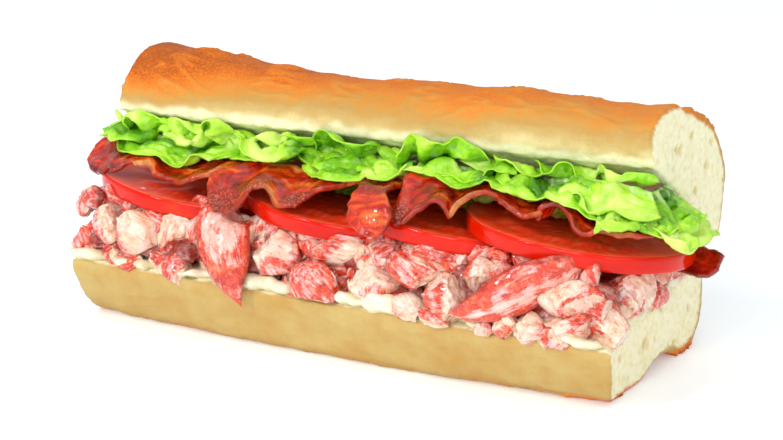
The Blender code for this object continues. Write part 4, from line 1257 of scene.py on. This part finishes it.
# %% Leaves, from the left end to the right one
# Lower leaves lie over the bacon, the next ones stand out from the heap, and the upper ones
# rise in front of the bread.
LEAVES = {
    "lettuce_1": (over_bacon(-89, -70, 54, 17, 0.006, 1), over_bacon(-75, -49, 53.5, 27, 0.016, 2)),
    "lettuce_2": (over_bacon(-54, -34, 54, 18, 0.006, 3), over_bacon(-36, -10, 54, 21, 0.010, 4)),
    "lettuce_3": (over_bacon(-12, 15, 54, 30, 0.016, 5), over_bacon(13, 37, 55, 21, 0.008, 6),
                  behind_slices(-34, -4, 28), behind_slices(-6, 22, 29)),
    "lettuce_4": (over_bacon(35, 60, 55, 27, 0.014, 7), over_bacon(57, 83, 55, 30, 0.016, 8),
                  behind_slices(20, 50, 30), behind_slices(48, 78, 31)),
    "lettuce_5": (at_right_end(84, -12, 54, 38, 30, 9), at_right_end(88, -4, 53, 66, 38, 10),
                  at_right_end(89, 5, 51, 84, 36, 11), at_right_end(86, -10, 57, 52, 32, 26)),
    "lettuce_6": (under_bun(-86, -66, 15, 7, 12), under_bun(-68, -42, 18, 16, 13),
                  over_bacon(-87, -62, 57, 20, 0.0, 14), over_bacon(-64, -38, 56.5, 20, 0.0, 15)),
    "lettuce_7": (under_bun(-44, -16, 14, 5, 16), under_bun(-18, 8, 16, 8, 17),
                  over_bacon(-40, -12, 57, 20, 0.0, 18), over_bacon(-12, 16, 57.5, 22, 0.004, 19)),
    "lettuce_8": (under_bun(8, 36, 19, 15, 20), under_bun(34, 60, 14, 5, 21), under_bun(58, 88, 17, 5, 22),
                  over_bacon(22, 48, 57.5, 22, 0.004, 23), over_bacon(46, 72, 57.5, 22, 0.004, 24),
                  over_bacon(66, 91, 58, 22, 0.006, 25), at_right_end(88, 0, 57, 74, 38, 27)),
}
for node, grown in LEAVES.items():
    lettuce_leaf(node, *grown)

# %% [markdown]
# ## Floor, light and camera
# The sandwich lies on a plain white floor under large soft lamps, as in a tabletop studio. A
# bright white room fills the shadows. The camera is a long lens from the front right, a little
# above, which keeps the roll's two ends nearly the same size.

# %% White floor
def make_floor():
    recipe = Recipe("matt white board")
    fibres = recipe.bump(recipe.noise(4, 3.0), 0.02, 0.1)
    board = recipe.finish(Base_Color="F2F8FC", Roughness=0.9, Normal=fibres, Emission_Color="F2F8FF",
                          Emission_Strength=0.24)
    bm = bmesh.new()
    bmesh.ops.create_grid(bm, x_segments=1, y_segments=1, size=3.0)
    object_of("floor", bm, board)


make_floor()

# %% Soft lamps
def add_lamp(name, place, size, watts):
    """Square soft box at a place in metres that looks at the sandwich."""
    lamp = bpy.data.lights.new(name, "AREA")
    lamp.shape = "SQUARE"
    lamp.size = size
    lamp.energy = watts
    holder = bpy.data.objects.new(name, lamp)
    holder.location = place
    holder.rotation_euler = (Vector(place) - Vector((0, 0, 0.04))).to_track_quat("Z", "Y").to_euler()
    bpy.context.scene.collection.objects.link(holder)
    print(f"{name}: {watts} W from {place}")


add_lamp("key", (-0.4, -0.75, 0.9), 0.3, 3.1)
add_lamp("small lamp", (-0.3, -0.85, 0.5), 0.06, 2.2)
add_lamp("right fill", (0.95, -0.35, 0.45), 0.7, 1.7)
add_lamp("front fill", (0.25, -1.0, 0.5), 0.5, 3.9)
add_lamp("top", (0.0, 0.25, 1.1), 0.9, 2.4)
world = bpy.data.worlds.new("white room")
world.use_nodes = True
world.node_tree.nodes["Background"].inputs["Color"].default_value = (1, 1, 1, 1)
world.node_tree.nodes["Background"].inputs["Strength"].default_value = 0.56
bpy.context.scene.world = world
bpy.context.scene.view_settings.view_transform = "Standard"

# %% Camera
AZIMUTH, ELEVATION = math.radians(29.5), math.radians(16.4)
DISTANCE = 0.8
LENS = 122.9
target = MIDDLE + Vector((2.9, 0.0, 35.1)) * MM
camera = bpy.data.objects.new("camera", bpy.data.cameras.new("camera"))
camera.data.sensor_width = 36
camera.data.lens = LENS
camera.location = target + DISTANCE * Vector((math.sin(AZIMUTH) * math.cos(ELEVATION),
                                              -math.cos(AZIMUTH) * math.cos(ELEVATION), math.sin(ELEVATION)))
camera.rotation_euler = (math.pi / 2 - ELEVATION, 0, AZIMUTH)
bpy.context.scene.collection.objects.link(camera)
bpy.context.scene.camera = camera
print("the camera is", DISTANCE, "m from", [round(v, 3) for v in target])
